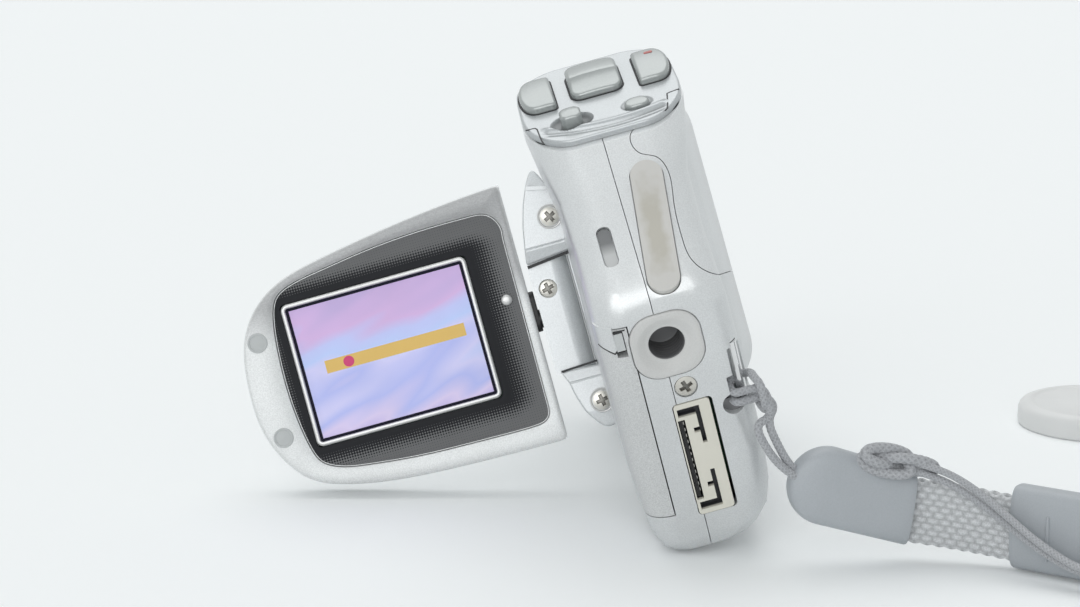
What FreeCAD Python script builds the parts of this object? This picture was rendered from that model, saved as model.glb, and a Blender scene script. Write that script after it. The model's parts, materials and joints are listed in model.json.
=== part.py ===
"""Pocket camcorder with a side-opening screen, as a parametric FreeCAD document (millimetres).

Most pieces are drawn in the camera's own frame: X to the right of the shell seam, Y forward along the
lens, Z up along the screen's hinge, with Y = 0 at the bend of the back and Z = 0 at the hinge's middle.
The finished camera then leans on its heel, its nose and the open screen, and the origin is the middle
of its footprint on the table.
"""
import FreeCAD, Part
import math
import os

import Sketcher
from FreeCAD import Placement, Rotation, Vector

doc = FreeCAD.newDocument("pocket_camcorder")

# ---------------------------------------------------------------- driving dimensions
SIZES = {
    # body shells
    "wall": 2.0,
    "seam_gap": 0.12,
    "seam_x": -0.5,
    "fit": 0.15,
    "body_length": 110.0,
    "head_left": 9.5,
    "head_right": 16.5,
    "head_top": 30.0,
    "head_bottom": 23.0,
    "chin_drop": 4.6,
    "grip_left": 9.7,
    "grip_right": 11.5,
    "grip_drop": 43.9,
    "bend_height": -4.0,
    "pad_lean": 21.0,
    "foot_lean": 28.3,
    # stance on the table
    "lean": 15.5,
    "nose_down": 12.0,
    # control cluster on top of the back
    "cluster_y": 11.0,
    "cluster_height": 23.3,
    "cluster_pitch": 32.4,
    "panel_thickness": 1.1,
    "cluster_well": 2.0,
    "button_wide": 5.6,
    "button_tall": 9.6,
    "button_proud": 1.4,
    "button_travel": 0.6,
    "button_offset": 9.4,
    "button_row": 15.0,
    "rocker_wide": 8.4,
    "rocker_tall": 9.0,
    "rocker_proud": 2.0,
    "stick_wide": 3.6,
    "stick_proud": 2.0,
    "stick_offset": -5.3,
    "stick_row": 5.0,
    "gimbal_radius": 2.4,
    "gimbal_depth": 1.2,
    "menu_wide": 4.0,
    "menu_tall": 3.0,
    "menu_offset": 5.2,
    "menu_row": 5.1,
    # rubber pad and indicator on the back
    "pad_wide": 5.0,
    "pad_tall": 21.6,
    "pad_proud": 0.8,
    "pad_sunk": 1.1,
    "pad_offset": 3.4,
    "pad_row": 11.3,
    "pad_turn": -6.5,
    "window_wide": 2.0,
    "window_tall": 6.4,
    "window_offset": -4.4,
    "window_row": 10.2,
    "window_sunk": 1.2,
    # end face: tripod socket, screw, dock connector
    "tripod_offset": 0.4,
    "tripod_row": -8.1,
    "tripod_bore": 2.65,
    "tripod_depth": 6.4,
    "insert_radius": 4.2,
    "ring_size": 11.0,
    "ring_proud": 0.35,
    "screw_offset": 1.6,
    "screw_row": -16.15,
    "screw_head": 1.7,
    "screw_shank": 0.9,
    "dock_wide": 5.7,
    "dock_tall": 20.4,
    "dock_depth": 5.5,
    "dock_wall": 0.6,
    "dock_offset": 1.7,
    "dock_row": -29.1,
    "dock_gap": 0.5,
    "slot_wide": 1.1,
    "slot_tall": 14.8,
    "keyhole_depth": 1.4,
    "contact_count": 12,
    # battery and its door
    "door_edge": -5.0,
    "door_top": -3.4,
    "door_heel": 7.2,
    "door_wrap": 20.0,
    "latch_wide": 1.3,
    "latch_tall": 3.0,
    "latch_travel": 1.2,
    "battery_thick": 5.6,
    "battery_top": -12.8,
    "battery_heel": 10.12,
    "battery_long": 35.0,
    # strap bar
    "bar_radius": 0.75,
    "bar_offset": 10.0,
    "bar_top": -11.2,
    "bar_bottom": -21.8,
    "recess_depth": 5.5,
    "recess_side": 2.1,
    "recess_wide_to": -16.6,
    "recess_hole": 1.8,
    # screen hinge
    "hinge_x": -13.0,
    "hinge_y": 57.0,
    "tilt_height": -2.55,
    "block_radius": 3.0,
    "block_top": 7.3,
    "block_bottom": -12.5,
    "cover_radius": 3.9,
    "cover_gap": 0.4,
    "cover_top": 22.6,
    "cover_bottom": -23.4,
    "pin_radius": 1.1,
    "shaft_radius": 1.6,
    # screen panel
    "panel_edge": -18.0,
    "panel_long": 50.4,
    "panel_half": 3.2,
    "panel_wall": 1.1,
    "frame_thick": 2.2,
    "print_thick": 0.9,
    "screen_wide": 31.0,
    "screen_tall": 23.3,
    "bezel_wide": 0.85,
    "screen_x": -43.1,
    "screen_z": -1.1,
    "bumper_radius": 1.65,
    # lens
    "lens_x": 3.5,
    "lens_z": 1.0,
    "ring_radius": 10.4,
    "ring_bore": 7.6,
    "ring_length": 2.4,
    "barrel_radius": 8.4,
    "barrel_wall": 1.0,
    "bulkhead_y": 57.2,
    "bulkhead_thick": 2.0,
    # wrist strap and lens cap
    "cord_radius": 1.4,
    "knot_radius": 1.9,
    "sleeve_long": 20.6,
    "sleeve_tall": 12.2,
    "sleeve_thick": 5.4,
    "band_thick": 1.25,
    "band_tall": 9.8,
    "end_sleeve_long": 21.5,
    "end_sleeve_tall": 13.4,
    "tether_radius": 1.2,
    "cap_radius": 14.4,
    "cap_tall": 4.5,
    "cap_wall": 1.4,
}

sheet = doc.addObject("Spreadsheet::Sheet", "sizes")
for line, (alias, value) in enumerate(SIZES.items(), 1):
    sheet.set(f"A{line}", alias)
    sheet.set(f"B{line}", str(value))
    sheet.setAlias(f"B{line}", alias)
doc.recompute()


def size(alias):
    """The sheet's value of one driving dimension."""
    return float(sheet.get(alias))


def bound(text):
    """An expression in the sheet's aliases, written with the sheet's name before each alias."""
    words = []
    word = ""
    for letter in str(text) + " ":
        if letter.isalnum() or letter in "_.":
            word += letter
            continue
        words.append("sizes." + word if word in SIZES else word)
        words.append(letter)
        word = ""
    return "".join(words).strip()


# ---------------------------------------------------------------- frames on the camera
def turned(x, y, z, angle):
    """A place turned about the camera's X axis; its own z is the outward side of a face there."""
    return Placement(Vector(x, y, z), Rotation(Vector(1, 0, 0), angle))


CAMERA = Placement()
CLUSTER = turned(1.15, size("cluster_y"), size("cluster_height"), size("cluster_pitch"))
PAD = turned(0, 0, size("bend_height"), 90 - size("pad_lean"))
FOOT = turned(0, 0, size("bend_height"), 90 + size("foot_lean"))
PANEL = turned(0, size("hinge_y"), 0, 90)
LENS = turned(size("lens_x"), 0, size("lens_z"), -90)
PAD_TURNED = PAD.multiply(
    Placement(Vector(size("pad_offset"), size("pad_row"), 0), Rotation(Vector(0, 0, 1), size("pad_turn"))))

nodes = {}


def node(label, pieces, frame=CAMERA):
    """One named sub-part: its solids together, and the frame they are drawn in."""
    part = doc.addObject("Part::Compound", label)
    part.Label = label
    part.Links = pieces if isinstance(pieces, list) else [pieces]
    nodes[label] = (part, frame)
    return part


# ---------------------------------------------------------------- drawing helpers
def bind(thing, **expressions):
    """Tie properties of an object to expressions in the sheet's aliases."""
    for name, text in expressions.items():
        thing.setExpression(name.replace("__", "."), bound(text))


def at(thing, x, y, z):
    """Tie an object's place in its own frame."""
    bind(thing, Placement__Base__x=x, Placement__Base__y=y, Placement__Base__z=z)
    return thing


def block(name, wide, deep, tall, x, y, z):
    """A box with its middle at x, y and its foot at z."""
    thing = doc.addObject("Part::Box", name)
    bind(thing, Length=wide, Width=deep, Height=tall)
    return at(thing, f"({x})-({wide})/2", f"({y})-({deep})/2", z)


def rod(name, radius, length, x, y, z):
    """A cylinder that stands on z."""
    thing = doc.addObject("Part::Cylinder", name)
    bind(thing, Radius=radius, Height=length)
    return at(thing, x, y, z)


def cone(name, low, high, length, x, y, z):
    """A cone that stands on z."""
    thing = doc.addObject("Part::Cone", name)
    bind(thing, Radius1=low, Radius2=high, Height=length)
    return at(thing, x, y, z)


def cut(name, base, tool):
    """The base without the tool."""
    thing = doc.addObject("Part::Cut", name)
    thing.Base = base
    thing.Tool = tool
    return thing


def fuse(name, *shapes):
    """Several shapes as one solid."""
    thing = doc.addObject("Part::MultiFuse", name)
    thing.Shapes = list(shapes)
    return thing


def common(name, base, tool):
    """What two shapes share."""
    thing = doc.addObject("Part::Common", name)
    thing.Base = base
    thing.Tool = tool
    return thing


def raised(name, sketch, thickness):
    """A flat outline made into a plate."""
    thing = doc.addObject("Part::Extrusion", name)
    thing.Base = sketch
    thing.DirMode = "Custom"
    thing.Dir = Vector(0, 0, 1)
    thing.Solid = True
    bind(thing, LengthFwd=thickness)
    return thing


def rounded_outline(name, wide, tall, corner, x="0", y="0", lift="0"):
    """A constrained sketch of a rectangle with round corners, its middle at x, y."""
    sketch = doc.addObject("Sketcher::SketchObject", name)
    w, d, r = 10.0, 6.0, 1.0
    ends = [(-w / 2 + r, -d / 2, w / 2 - r, -d / 2), (w / 2, -d / 2 + r, w / 2, d / 2 - r),
            (w / 2 - r, d / 2, -w / 2 + r, d / 2), (-w / 2, d / 2 - r, -w / 2, -d / 2 + r)]
    lines = [Part.LineSegment(Vector(a, b, 0), Vector(c, e, 0)) for a, b, c, e in ends]
    across, along = w / 2 - r, d / 2 - r
    middles = [(across, -along), (across, along), (-across, along), (-across, -along)]
    arcs = []
    for turn, (a, b) in enumerate(middles):
        circle = Part.Circle(Vector(a, b, 0), Vector(0, 0, 1), r)
        start = (turn - 1) * math.pi / 2
        arcs.append(Part.ArcOfCircle(circle, start, start + math.pi / 2))
    sketch.addGeometry(lines + arcs, False)
    rules = []
    for side in range(4):
        rules.append(Sketcher.Constraint("Tangent", side, 2, 4 + side, 1))
        rules.append(Sketcher.Constraint("Tangent", 4 + side, 2, (side + 1) % 4, 1))
        rules.append(Sketcher.Constraint("Vertical" if side % 2 else "Horizontal", side))
    rules += [Sketcher.Constraint("Equal", 4, arc) for arc in (5, 6, 7)]
    sketch.addConstraint(rules)
    dimensions = [("corner", Sketcher.Constraint("Radius", 4, r), corner),
                  ("wide", Sketcher.Constraint("DistanceX", 3, 1, 1, 1, w), wide),
                  ("tall", Sketcher.Constraint("DistanceY", 0, 1, 2, 1, d), tall),
                  ("right_side", Sketcher.Constraint("DistanceX", -1, 1, 1, 1, w / 2), f"({x})+({wide})/2"),
                  ("top_side", Sketcher.Constraint("DistanceY", -1, 1, 2, 1, d / 2), f"({y})+({tall})/2")]
    for label, rule, text in dimensions:
        sketch.renameConstraint(sketch.addConstraint(rule), label)
        sketch.setExpression("Constraints." + label, bound(text))
    bind(sketch, Placement__Base__z=lift)
    return sketch


def rounded_plate(name, wide, tall, corner, thickness, x="0", y="0", lift="0"):
    """A plate with round corners, its middle at x, y and its foot at lift."""
    return raised(name, rounded_outline(name + "_outline", wide, tall, corner, x, y, lift), thickness)


def formed(name, shape):
    """A freeform piece whose shape is worked out below from the sheet's sizes."""
    thing = doc.addObject("Part::Feature", name)
    thing.Shape = shape
    return thing


# ---------------------------------------------------------------- body shells
def rear_y(z):
    """How far forward the back lies at a height: the pad's slope above the bend, the end face below it."""
    rise = z - size("bend_height")
    if rise > 0:
        return rise * math.tan(math.radians(size("pad_lean")))
    return -rise * math.tan(math.radians(size("foot_lean")))


def grip_stations():
    """Height, back, front, left, right and corner radius of the grip, from heel to control cluster."""
    left, right, drop, bend = size("grip_left"), size("grip_right"), size("grip_drop"), size("bend_height")
    cluster = size("cluster_height")
    return [(-drop, rear_y(-drop) + 1.2, rear_y(-drop) + 4.4, -left + 5.0, right - 8.5, 1.4),
            (-drop + 0.5, rear_y(-drop) + 0.5, rear_y(-drop) + 7.0, -left + 3.4, right - 6.2, 2.4),
            (-drop + 1.7, rear_y(-drop + 1.7) + 0.2, rear_y(-drop) + 11.0, -left + 2.0, right - 4.0, 3.2),
            (-drop + 4.2, rear_y(-drop + 4.2), rear_y(-drop) + 16.5, -left + 0.9, right - 1.7, 3.8),
            (-drop + 8.0, rear_y(-drop + 8), rear_y(-drop) + 24.0, -left + 0.3, right - 0.5, 4.0),
            (-30, rear_y(-30), rear_y(-30) + 30, -left, right, 4.0),
            (-24, rear_y(-24), rear_y(-24) + 40, -left, right, 4.2),
            (bend - 2.2, rear_y(bend - 2.2), 58, -left, right - 0.3, 4.6),
            (bend, 0.55, 58, -left + 0.05, right - 0.5, 4.8),
            (bend + 2.2, rear_y(bend + 2.2), 58, -left + 0.1, right - 0.6, 5.0),
            (5, rear_y(5), 58, -left + 0.3, right - 0.8, 5.4),
            (14, rear_y(14), 56, -left + 0.1, right - 0.4, 6.0),
            (20, rear_y(20), 48, -left - 1.0, right + 1.3, 6.6),
            (cluster + 2.7, rear_y(cluster + 2.7), 40, -left - 2.0, right + 2.5, 7.0),
            (cluster + 8, rear_y(cluster + 8), 33.5, -left - 1.9, right + 2.3, 7.0),
            (cluster + 12.7, rear_y(cluster + 12.7), 30.6, -left - 1.2, right + 1.5, 7.0),
            (cluster + 18, rear_y(cluster + 18), 29.5, -left - 0.4, right + 0.7, 6.0)]


def head_stations():
    """Distance forward, bottom, top, left, right and corner radius of the head, from grip to lens."""
    left, right, top, low = size("head_left"), size("head_right"), size("head_top"), size("head_bottom")
    long, chin = size("body_length"), size("chin_drop")
    return [(24, -low + 5, top - 9, -left + 1, right - 6.6, 4.0),
            (34, -low + 2.5, top - 1.5, -left, right - 3.0, 6.5),
            (46, -low + 0.6, top, -left, right - 0.5, 8.0),
            (60, -low, top - 0.8, -left, right, 8.0),
            (85, -low - 0.7 * chin, top - 3.0, -left, right, 8.0),
            (long - 7, -low - chin, top - 4.4, -left, right, 8.0),
            (long - 2.5, -low - chin + 1.2, top - 5.8, -left + 0.9, right - 0.9, 7.6),
            (long, -low - chin + 3.6, top - 8.0, -left + 2.4, right - 2.4, 6.6)]


def rounded_wire(low, high, corner, point):
    """A closed wire of a rectangle with round corners; point() puts its flat coordinates in space."""
    (x0, y0), (x1, y1) = low, high
    edges = []
    corners = [(x1 - corner, y0 + corner, -90), (x1 - corner, y1 - corner, 0),
               (x0 + corner, y1 - corner, 90), (x0 + corner, y0 + corner, 180)]
    ends = []
    for x, y, start in corners:
        spots = []
        for angle in (start, start + 45, start + 90):
            turn = math.radians(angle)
            spots.append(point(x + corner * math.cos(turn), y + corner * math.sin(turn)))
        ends.append(spots)
    for index, spots in enumerate(ends):
        edges.append(Part.Arc(*spots).toShape())
        edges.append(Part.LineSegment(spots[2], ends[(index + 1) % 4][0]).toShape())
    return Part.Wire(edges)


def grip_form(inset):
    """The grip as a solid, drawn in from its outside by the inset."""
    wires = []
    for z, back, front, left, right, corner in grip_stations():
        z = max(z, -size("grip_drop") + inset) if z < 0 else z
        if inset and wires and z <= -size("grip_drop") + inset:
            wires.pop()
        low, high = (left + inset, back + inset), (right - inset, front - inset)
        wires.append(rounded_wire(low, high, max(corner - inset, 0.8), lambda x, y, z=z: Vector(x, y, z)))
    return Part.makeLoft(wires, True, True)


def head_form(inset):
    """The head as a solid, drawn in from its outside by the inset."""
    wires = []
    for y, bottom, top, left, right, corner in head_stations():
        y = min(y, size("body_length") - inset)
        if y == size("body_length") - inset and inset:
            bottom, top, left, right = bottom - 1.0, top + 1.0, left - 0.8, right + 0.8
        low, high = (left + inset, bottom + inset), (right - inset, top - inset)
        wires.append(rounded_wire(low, high, max(corner - inset, 0.8), lambda x, z, y=y: Vector(x, y, z)))
    return Part.makeLoft(wires, True, True)


def box_in(frame, x0, x1, y0, y1, z0, z1):
    """A box between two corners of a frame, placed on the camera."""
    shape = Part.makeBox(x1 - x0, y1 - y0, z1 - z0, Vector(x0, y0, z0))
    shape.Placement = frame
    return shape


def rod_in(frame, radius, x, y, z0, z1):
    """A cylinder along a frame's own z, placed on the camera."""
    shape = Part.makeCylinder(radius, z1 - z0, Vector(x, y, z0))
    shape.Placement = frame
    return shape


def plate_in(frame, wide, tall, corner, x, y, z0, z1):
    """A plate with round corners in a frame, placed on the camera."""
    low, high = (x - wide / 2, y - tall / 2), (x + wide / 2, y + tall / 2)
    wire = rounded_wire(low, high, corner, lambda a, b: Vector(a, b, z0))
    shape = Part.Face(wire).extrude(Vector(0, 0, z1 - z0))
    shape.Placement = frame
    return shape


def far(frame, z, x=(-80, 80), y=(-80, 160)):
    """All the room on the outward side of a face, from its level z."""
    return box_in(frame, x[0], x[1], y[0], y[1], z, z + 90)


FEET = (22.6, -9.2)
FOOT_Y = 62.0
SIDE = Placement(Vector(0, 0, 0), Rotation(Vector(0, 1, 0), 90))
wall, fit, seam = size("wall"), size("fit"), size("seam_x")
outer = grip_form(0).fuse(head_form(0))
inner = grip_form(wall).fuse(head_form(wall))
skin = outer.cut(far(CLUSTER, -size("panel_thickness")))
hollow = inner.cut(far(CLUSTER, -size("cluster_well") - wall + 0.8))

# solid corner behind the strap bar's recess
recess_x = size("bar_offset") - size("recess_side")
strap_block = box_in(FOOT, recess_x - wall, 30, size("bar_bottom") - 3.4, size("bar_top") + 1.6,
                     -size("recess_depth") - wall, 5)
hollow = hollow.cut(strap_block)
shell = skin.cut(hollow)


def shell_cuts():
    """Everything that is cut out of the two body shells."""
    tools = []
    through, clear = 15, 4
    # well under the buttons
    tools.append(plate_in(CLUSTER, 23.4, 21, 4, 0, 11.4, -size("cluster_well"), 6))
    button_room = size("button_wide") + 2 * fit, size("button_tall") + 2 * fit, 2.6 + fit
    for side in (-1, 1):
        tools.append(plate_in(CLUSTER, *button_room, side * size("button_offset"), size("button_row"),
                              -size("cluster_well"), 6))
    # pad and indicator recesses
    tools.append(plate_in(PAD_TURNED, size("pad_wide") + 2 * fit, size("pad_tall") + 2 * fit,
                          size("pad_wide") / 2, 0, 0, -size("pad_sunk") - fit, 6))
    tools.append(plate_in(PAD, size("window_wide") + 2 * fit, size("window_tall") + 2 * fit,
                          size("window_wide") / 2, size("window_offset"), size("window_row"),
                          -size("window_sunk") - 0.1, 6))
    # tripod socket and its ring
    x, y = size("tripod_offset"), size("tripod_row")
    tools.append(rod_in(FOOT, size("insert_radius") + fit, x, y, -through, clear))
    ring_room = size("ring_size") + 2 * fit
    tools.append(plate_in(FOOT, ring_room, ring_room, 4.15, x, y, -0.75, clear))
    # body screw
    x, y = size("screw_offset"), size("screw_row")
    tools.append(rod_in(FOOT, size("screw_head") + fit, x, y, -0.75, clear))
    tools.append(rod_in(FOOT, size("screw_shank") + fit, x, y, -4.5, 0))
    # dock connector
    gap = size("dock_gap")
    tools.append(plate_in(FOOT, size("dock_wide") + fit + gap, size("dock_tall") + 2 * fit, 0.75,
                          size("dock_offset") + (gap - fit) / 2, size("dock_row"), -through, clear))
    # strap recess and its lower hole
    deep, half_bar = size("recess_depth"), size("bar_radius") + 2 * fit
    tools.append(box_in(FOOT, recess_x, 30, size("bar_bottom") + 0.8, size("recess_wide_to"), -deep, 5))
    tools.append(box_in(FOOT, size("bar_offset") - half_bar, 30, size("recess_wide_to") - 1,
                        size("bar_top") - 0.8, -deep, 5))
    tools.append(rod_in(FOOT, size("recess_hole"), recess_x + 0.3, size("bar_bottom") + 0.4, -deep, clear))
    tools.append(bar_bore())
    # lens, flash and microphones in the front
    front = size("body_length")
    tools.append(rod_in(LENS, size("ring_radius") - 1.4 + fit, 0, 0, front - 6, front + clear))
    tools.append(plate_in(LENS, 11.3, 5.3, 1.3, 0, -15.2, front - 6, front + clear))
    for side in (-4, 4):
        tools.append(rod_in(LENS, 1.3, side, 15.6, front - 6, front + clear))
    # feet on the right side
    for z in FEET:
        tools.append(rod_in(SIDE, 1.1, -z, FOOT_Y, size("head_right") - 1.2, size("head_right") + clear))
    return tools


def bar_bore():
    """The bar's own hole through the solid corner, along the end face."""
    along = FOOT.multiply(Placement(Vector(size("bar_offset"), size("bar_bottom"), -1.6),
                                    Rotation(Vector(1, 0, 0), -90)))
    return rod_in(along, size("bar_radius") + 0.05, 0, 0, 0, size("bar_top") - size("bar_bottom"))


for tool in shell_cuts():
    shell = shell.cut(tool)


def beside(spots, shift):
    """Spots of an open line, each moved square to the line between its neighbours."""
    moved = []
    for index, (x, z) in enumerate(spots):
        ax, az = spots[max(index - 1, 0)]
        bx, bz = spots[min(index + 1, len(spots) - 1)]
        length = math.hypot(bx - ax, bz - az)
        moved.append((x + (bz - az) / length * shift, z - (bx - ax) / length * shift))
    return moved


SEAM = [(5.2, 22.2), (3.6, 20.4), (4.4, 18.2), (6.6, 17.0), (7.8, 14.6), (7.3, 9.6), (6.9, 4.0), (7.3, 0.4),
        (9.2, -2.1), (12.0, -3.2)]


def side_region(shift):
    """The room of the right side cover: right of an S-shaped seam in the back, above its lower edge."""
    points = [Vector(x, -20, z) for x, z in beside(SEAM, shift)]
    curve = Part.BSplineCurve()
    curve.interpolate(points)
    start, end = points[0], points[-1]
    right, top = 60, 80
    rest = [end, Vector(right, -20, end.z), Vector(right, -20, top), Vector(start.x, -20, top), start]
    edges = [curve.toShape()]
    edges += [Part.LineSegment(a, b).toShape() for a, b in zip(rest, rest[1:])]
    return Part.Face(Part.Wire(edges)).extrude(Vector(0, 200, 0))


def door_region(gap):
    """The room of the battery door, on the left of the end face and round the left side."""
    end_long = (size("grip_drop") + size("bend_height")) / math.cos(math.radians(size("foot_lean")))
    door_bottom = size("door_heel") - end_long
    return box_in(FOOT, -40, size("door_edge") + gap, door_bottom - gap, size("door_top") + gap,
                  -size("door_wrap") - gap, 20)


gap = size("seam_gap")
left_half = Part.makeBox(200, 300, 300, Vector(seam - gap / 2 - 200, -100, -150))
right_half = Part.makeBox(200, 300, 300, Vector(seam + gap / 2, -100, -150))
node("left_shell", formed("left_shell_form", shell.common(left_half).cut(door_region(0.2))))
node("right_shell", formed("right_shell_form", shell.common(right_half).cut(side_region(gap))))
node("right_side_cover", formed("right_side_cover_form", shell.common(side_region(0))))

latch_x, latch_y = size("door_edge") - 1.5, size("door_top") - 2.1
latch_slot = box_in(FOOT, latch_x - size("latch_wide") / 2 - fit, latch_x + size("latch_wide") / 2 + fit,
                    latch_y - size("latch_tall") / 2 - size("latch_travel") - fit,
                    latch_y + size("latch_tall") / 2 + fit, -10, 5)
node("battery_door", formed("battery_door_form", shell.common(door_region(0)).cut(latch_slot)))
node("door_latch", block("latch", "latch_wide", "latch_tall", "wall+0.2", latch_x, latch_y, "-wall"), FOOT)


# ---------------------------------------------------------------- control cluster
def button_hole(x, y, wide, tall, corner, slack):
    """A hole in the control panel for a button, with slack all round."""
    return plate_in(CLUSTER, wide + 2 * slack, tall + 2 * slack, corner + slack, x, y, -6, 6)


offset, row = size("button_offset"), size("button_row")
button = size("button_wide"), size("button_tall"), 2.6
menu = size("menu_wide"), size("menu_tall"), 1.35
cover_plate = outer.common(far(CLUSTER, -size("panel_thickness") + 0.05)).cut(far(CLUSTER, 0))
holes = [button_hole(-offset, row, *button, fit),
         button_hole(offset, row, *button, fit),
         button_hole(0, row + 0.4, size("rocker_wide"), size("rocker_tall"), 1.6, 0.3),
         button_hole(size("menu_offset"), size("menu_row"), *menu, fit),
         rod_in(CLUSTER, size("stick_wide") * 0.71 + 0.75, size("stick_offset"), size("stick_row"), -6, 6)]
for hole in holes:
    cover_plate = cover_plate.cut(hole)
node("control_panel", formed("control_panel_form", cover_plate))

for name, side in (("photo_button", "-button_offset"), ("record_button", "button_offset")):
    cap = rounded_plate(name + "_cap", "button_wide", "button_tall", "2.6", "button_proud+1.2",
                        side, "button_row", "-1.2")
    node(name, cap, CLUSTER)
node("menu_button", rounded_plate("menu_cap", "menu_wide", "menu_tall", "1.35", "1.6",
                                  "menu_offset", "menu_row", "-1.2"), CLUSTER)

rocker_base = rounded_plate("rocker_base", "rocker_wide", "rocker_tall", "1.6", "rocker_proud+1.0",
                            "0", "button_row+0.4", "-1.0")
rocker_low = block("rocker_low", "rocker_wide+2", "rocker_tall/2-1.6", "rocker_proud",
                   "0", "button_row+0.4-rocker_tall/4-1.3", "rocker_proud-1.1")
rocker_high = block("rocker_high", "rocker_wide+2", "rocker_tall/2-1.6", "rocker_proud",
                    "0", "button_row+0.4+rocker_tall/4+1.3", "rocker_proud-1.1")
node("zoom_rocker", cut("rocker", rocker_base, fuse("rocker_slopes", rocker_low, rocker_high)), CLUSTER)

gimbal_disc = rod("gimbal_disc", "gimbal_radius", "0.5", "stick_offset", "stick_row", "-gimbal_depth-0.25")
gimbal_hole = rod("gimbal_hole", "1.5", "2", "stick_offset", "stick_row", "-gimbal_depth-1")
node("joystick_gimbal", cut("gimbal", gimbal_disc, gimbal_hole), CLUSTER)
stick = fuse("stick", rounded_plate("stick_cap", "stick_wide", "stick_wide", "0.9", "stick_proud+0.5",
                                    "stick_offset", "stick_row", "-0.5"),
             rod("stick_stem", "1.1", "1.2", "stick_offset", "stick_row", "-1.6"))
node("joystick_cap", stick, CLUSTER)
control_circuit = block("control_circuit", "16", "16", "1", "0", "11.5", "-cluster_well-wall-0.4")
node("control_board", control_circuit, CLUSTER)

# ---------------------------------------------------------------- back and end face
node("grip_pad", rounded_plate("pad_rubber", "pad_wide", "pad_tall", "pad_wide/2-0.05",
                               "pad_proud+pad_sunk", "0", "0", "-pad_sunk"), PAD_TURNED)
node("indicator_window", rounded_plate("window_glass", "window_wide", "window_tall", "window_wide/2-0.05",
                                       "0.6", "window_offset", "window_row", "-window_sunk"), PAD)

ring_plate = rounded_plate("tripod_plate", "ring_size", "ring_size", "4", "ring_proud+0.6",
                           "tripod_offset", "tripod_row", "-0.6")
ring_bore = rod("tripod_ring_bore", "tripod_bore+0.75", "3", "tripod_offset", "tripod_row", "-1")
ring_bevel = cone("tripod_bevel", "tripod_bore+0.7", "tripod_bore+2", "0.7", "tripod_offset", "tripod_row",
                  "ring_proud-0.6")
node("tripod_ring", cut("ring", ring_plate, fuse("ring_opening", ring_bore, ring_bevel)), FOOT)
insert_body = rod("insert_body", "insert_radius", "tripod_depth+1", "tripod_offset", "tripod_row",
                  "-tripod_depth-1.7")
insert_bore = rod("insert_bore", "tripod_bore", "tripod_depth+1", "tripod_offset", "tripod_row",
                  "-tripod_depth-0.7")
node("tripod_insert", cut("insert", insert_body, insert_bore), FOOT)

screw = fuse("screw_body", rod("screw_top", "screw_head", "0.7", "screw_offset", "screw_row", "-0.6"),
             rod("screw_stem", "screw_shank", "3.4", "screw_offset", "screw_row", "-4"))
bars = [block(name, wide, tall, "1", "screw_offset", "screw_row", "-0.35")
        for name, wide, tall in (("cross_a", "screw_head*1.2", "0.5"), ("cross_b", "0.5", "screw_head*1.2"))]
cross = fuse("screw_cross", *bars)
node("body_screw", cut("screw_slotted", screw, cross), FOOT)

dock_case = rounded_plate("dock_case", "dock_wide", "dock_tall", "0.6", "dock_depth+0.15",
                          "dock_offset", "dock_row", "-dock_depth")
slot_x = "(dock_offset-dock_wide/2+0.2+slot_wide/2)"
dock_slot = block("dock_slot", "slot_wide", "slot_tall", "dock_depth+0.2", slot_x, "dock_row",
                  "-dock_depth+dock_wall")
keyholes = []
for side in (1, -1):
    for label, wide, tall, x, y in (("bar", 3.5, 1.4, -0.65, 8.65), ("stem", 0.7, 5.6, 0.75, 5.3),
                                    ("key", 1.0, 0.9, 0.0, 5.1)):
        keyholes.append(block(f"keyhole_{label}_{side + 1}", wide, tall, "keyhole_depth+1",
                              f"dock_offset+({x})", f"dock_row+({y * side})", "0.15-keyhole_depth"))
node("dock_connector_shell", cut("dock_shell", dock_case, fuse("dock_cuts", dock_slot, *keyholes)), FOOT)
tongue_x = "(" + slot_x + "-0.1)"
node("dock_connector_tongue", block("tongue", "slot_wide-0.5", "slot_tall-0.6", "dock_depth-dock_wall-0.3",
                                    tongue_x, "dock_row", "-dock_depth+dock_wall"), FOOT)
contacts = []
for index in range(int(size("contact_count"))):
    step = f"(slot_tall-2.4)/(contact_count-1)*({index}-(contact_count-1)/2)"
    contacts.append(block(f"contact_{index}", "0.15", "0.55", "dock_depth-dock_wall-1.0",
                          tongue_x + "+slot_wide/2-0.175", "dock_row+" + step, "-dock_depth+dock_wall+0.1"))
node("dock_contacts", contacts, FOOT)
board_left, board_right = "(dock_offset-dock_wide/2)", "(bar_offset-recess_side-wall-2*fit)"
node("connector_board", block("connector_circuit", f"{board_right}-{board_left}", "21", "1",
                              f"({board_left}+{board_right})/2", "dock_row+1.5", "-dock_depth-1.1"), FOOT)

# ---------------------------------------------------------------- battery and strap bar
# the battery ends a set distance above the heel, measured down the end face
battery_x = "-grip_left+wall+0.4+battery_thick/2"
battery_low = "(battery_heel-(grip_drop+bend_height)/cos(foot_lean*1deg))"
node("battery", rounded_plate("battery_pack", "battery_thick", "battery_top-" + battery_low, "1.2",
                              "battery_long", battery_x, "(battery_top+" + battery_low + ")/2",
                              "-wall-1-battery_long"), FOOT)
node("battery_terminals", block("terminals", "battery_thick", "9", "2.6", battery_x,
                                battery_low + "+5", "-wall-1-battery_long-2.8"), FOOT)
bar = rod("bar", "bar_radius", "bar_top-bar_bottom-0.2", "bar_offset", "0", "0")
BAR = FOOT.multiply(Placement(Vector(0, size("bar_bottom") + 0.1, -1.6), Rotation(Vector(1, 0, 0), -90)))
node("strap_bar", bar, BAR)
feet = [rod(f"foot_stud_{index}", "1", "1.7", -z, FOOT_Y, "head_right-1.15") for index, z in enumerate(FEET)]
node("side_feet", feet, SIDE)
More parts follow.
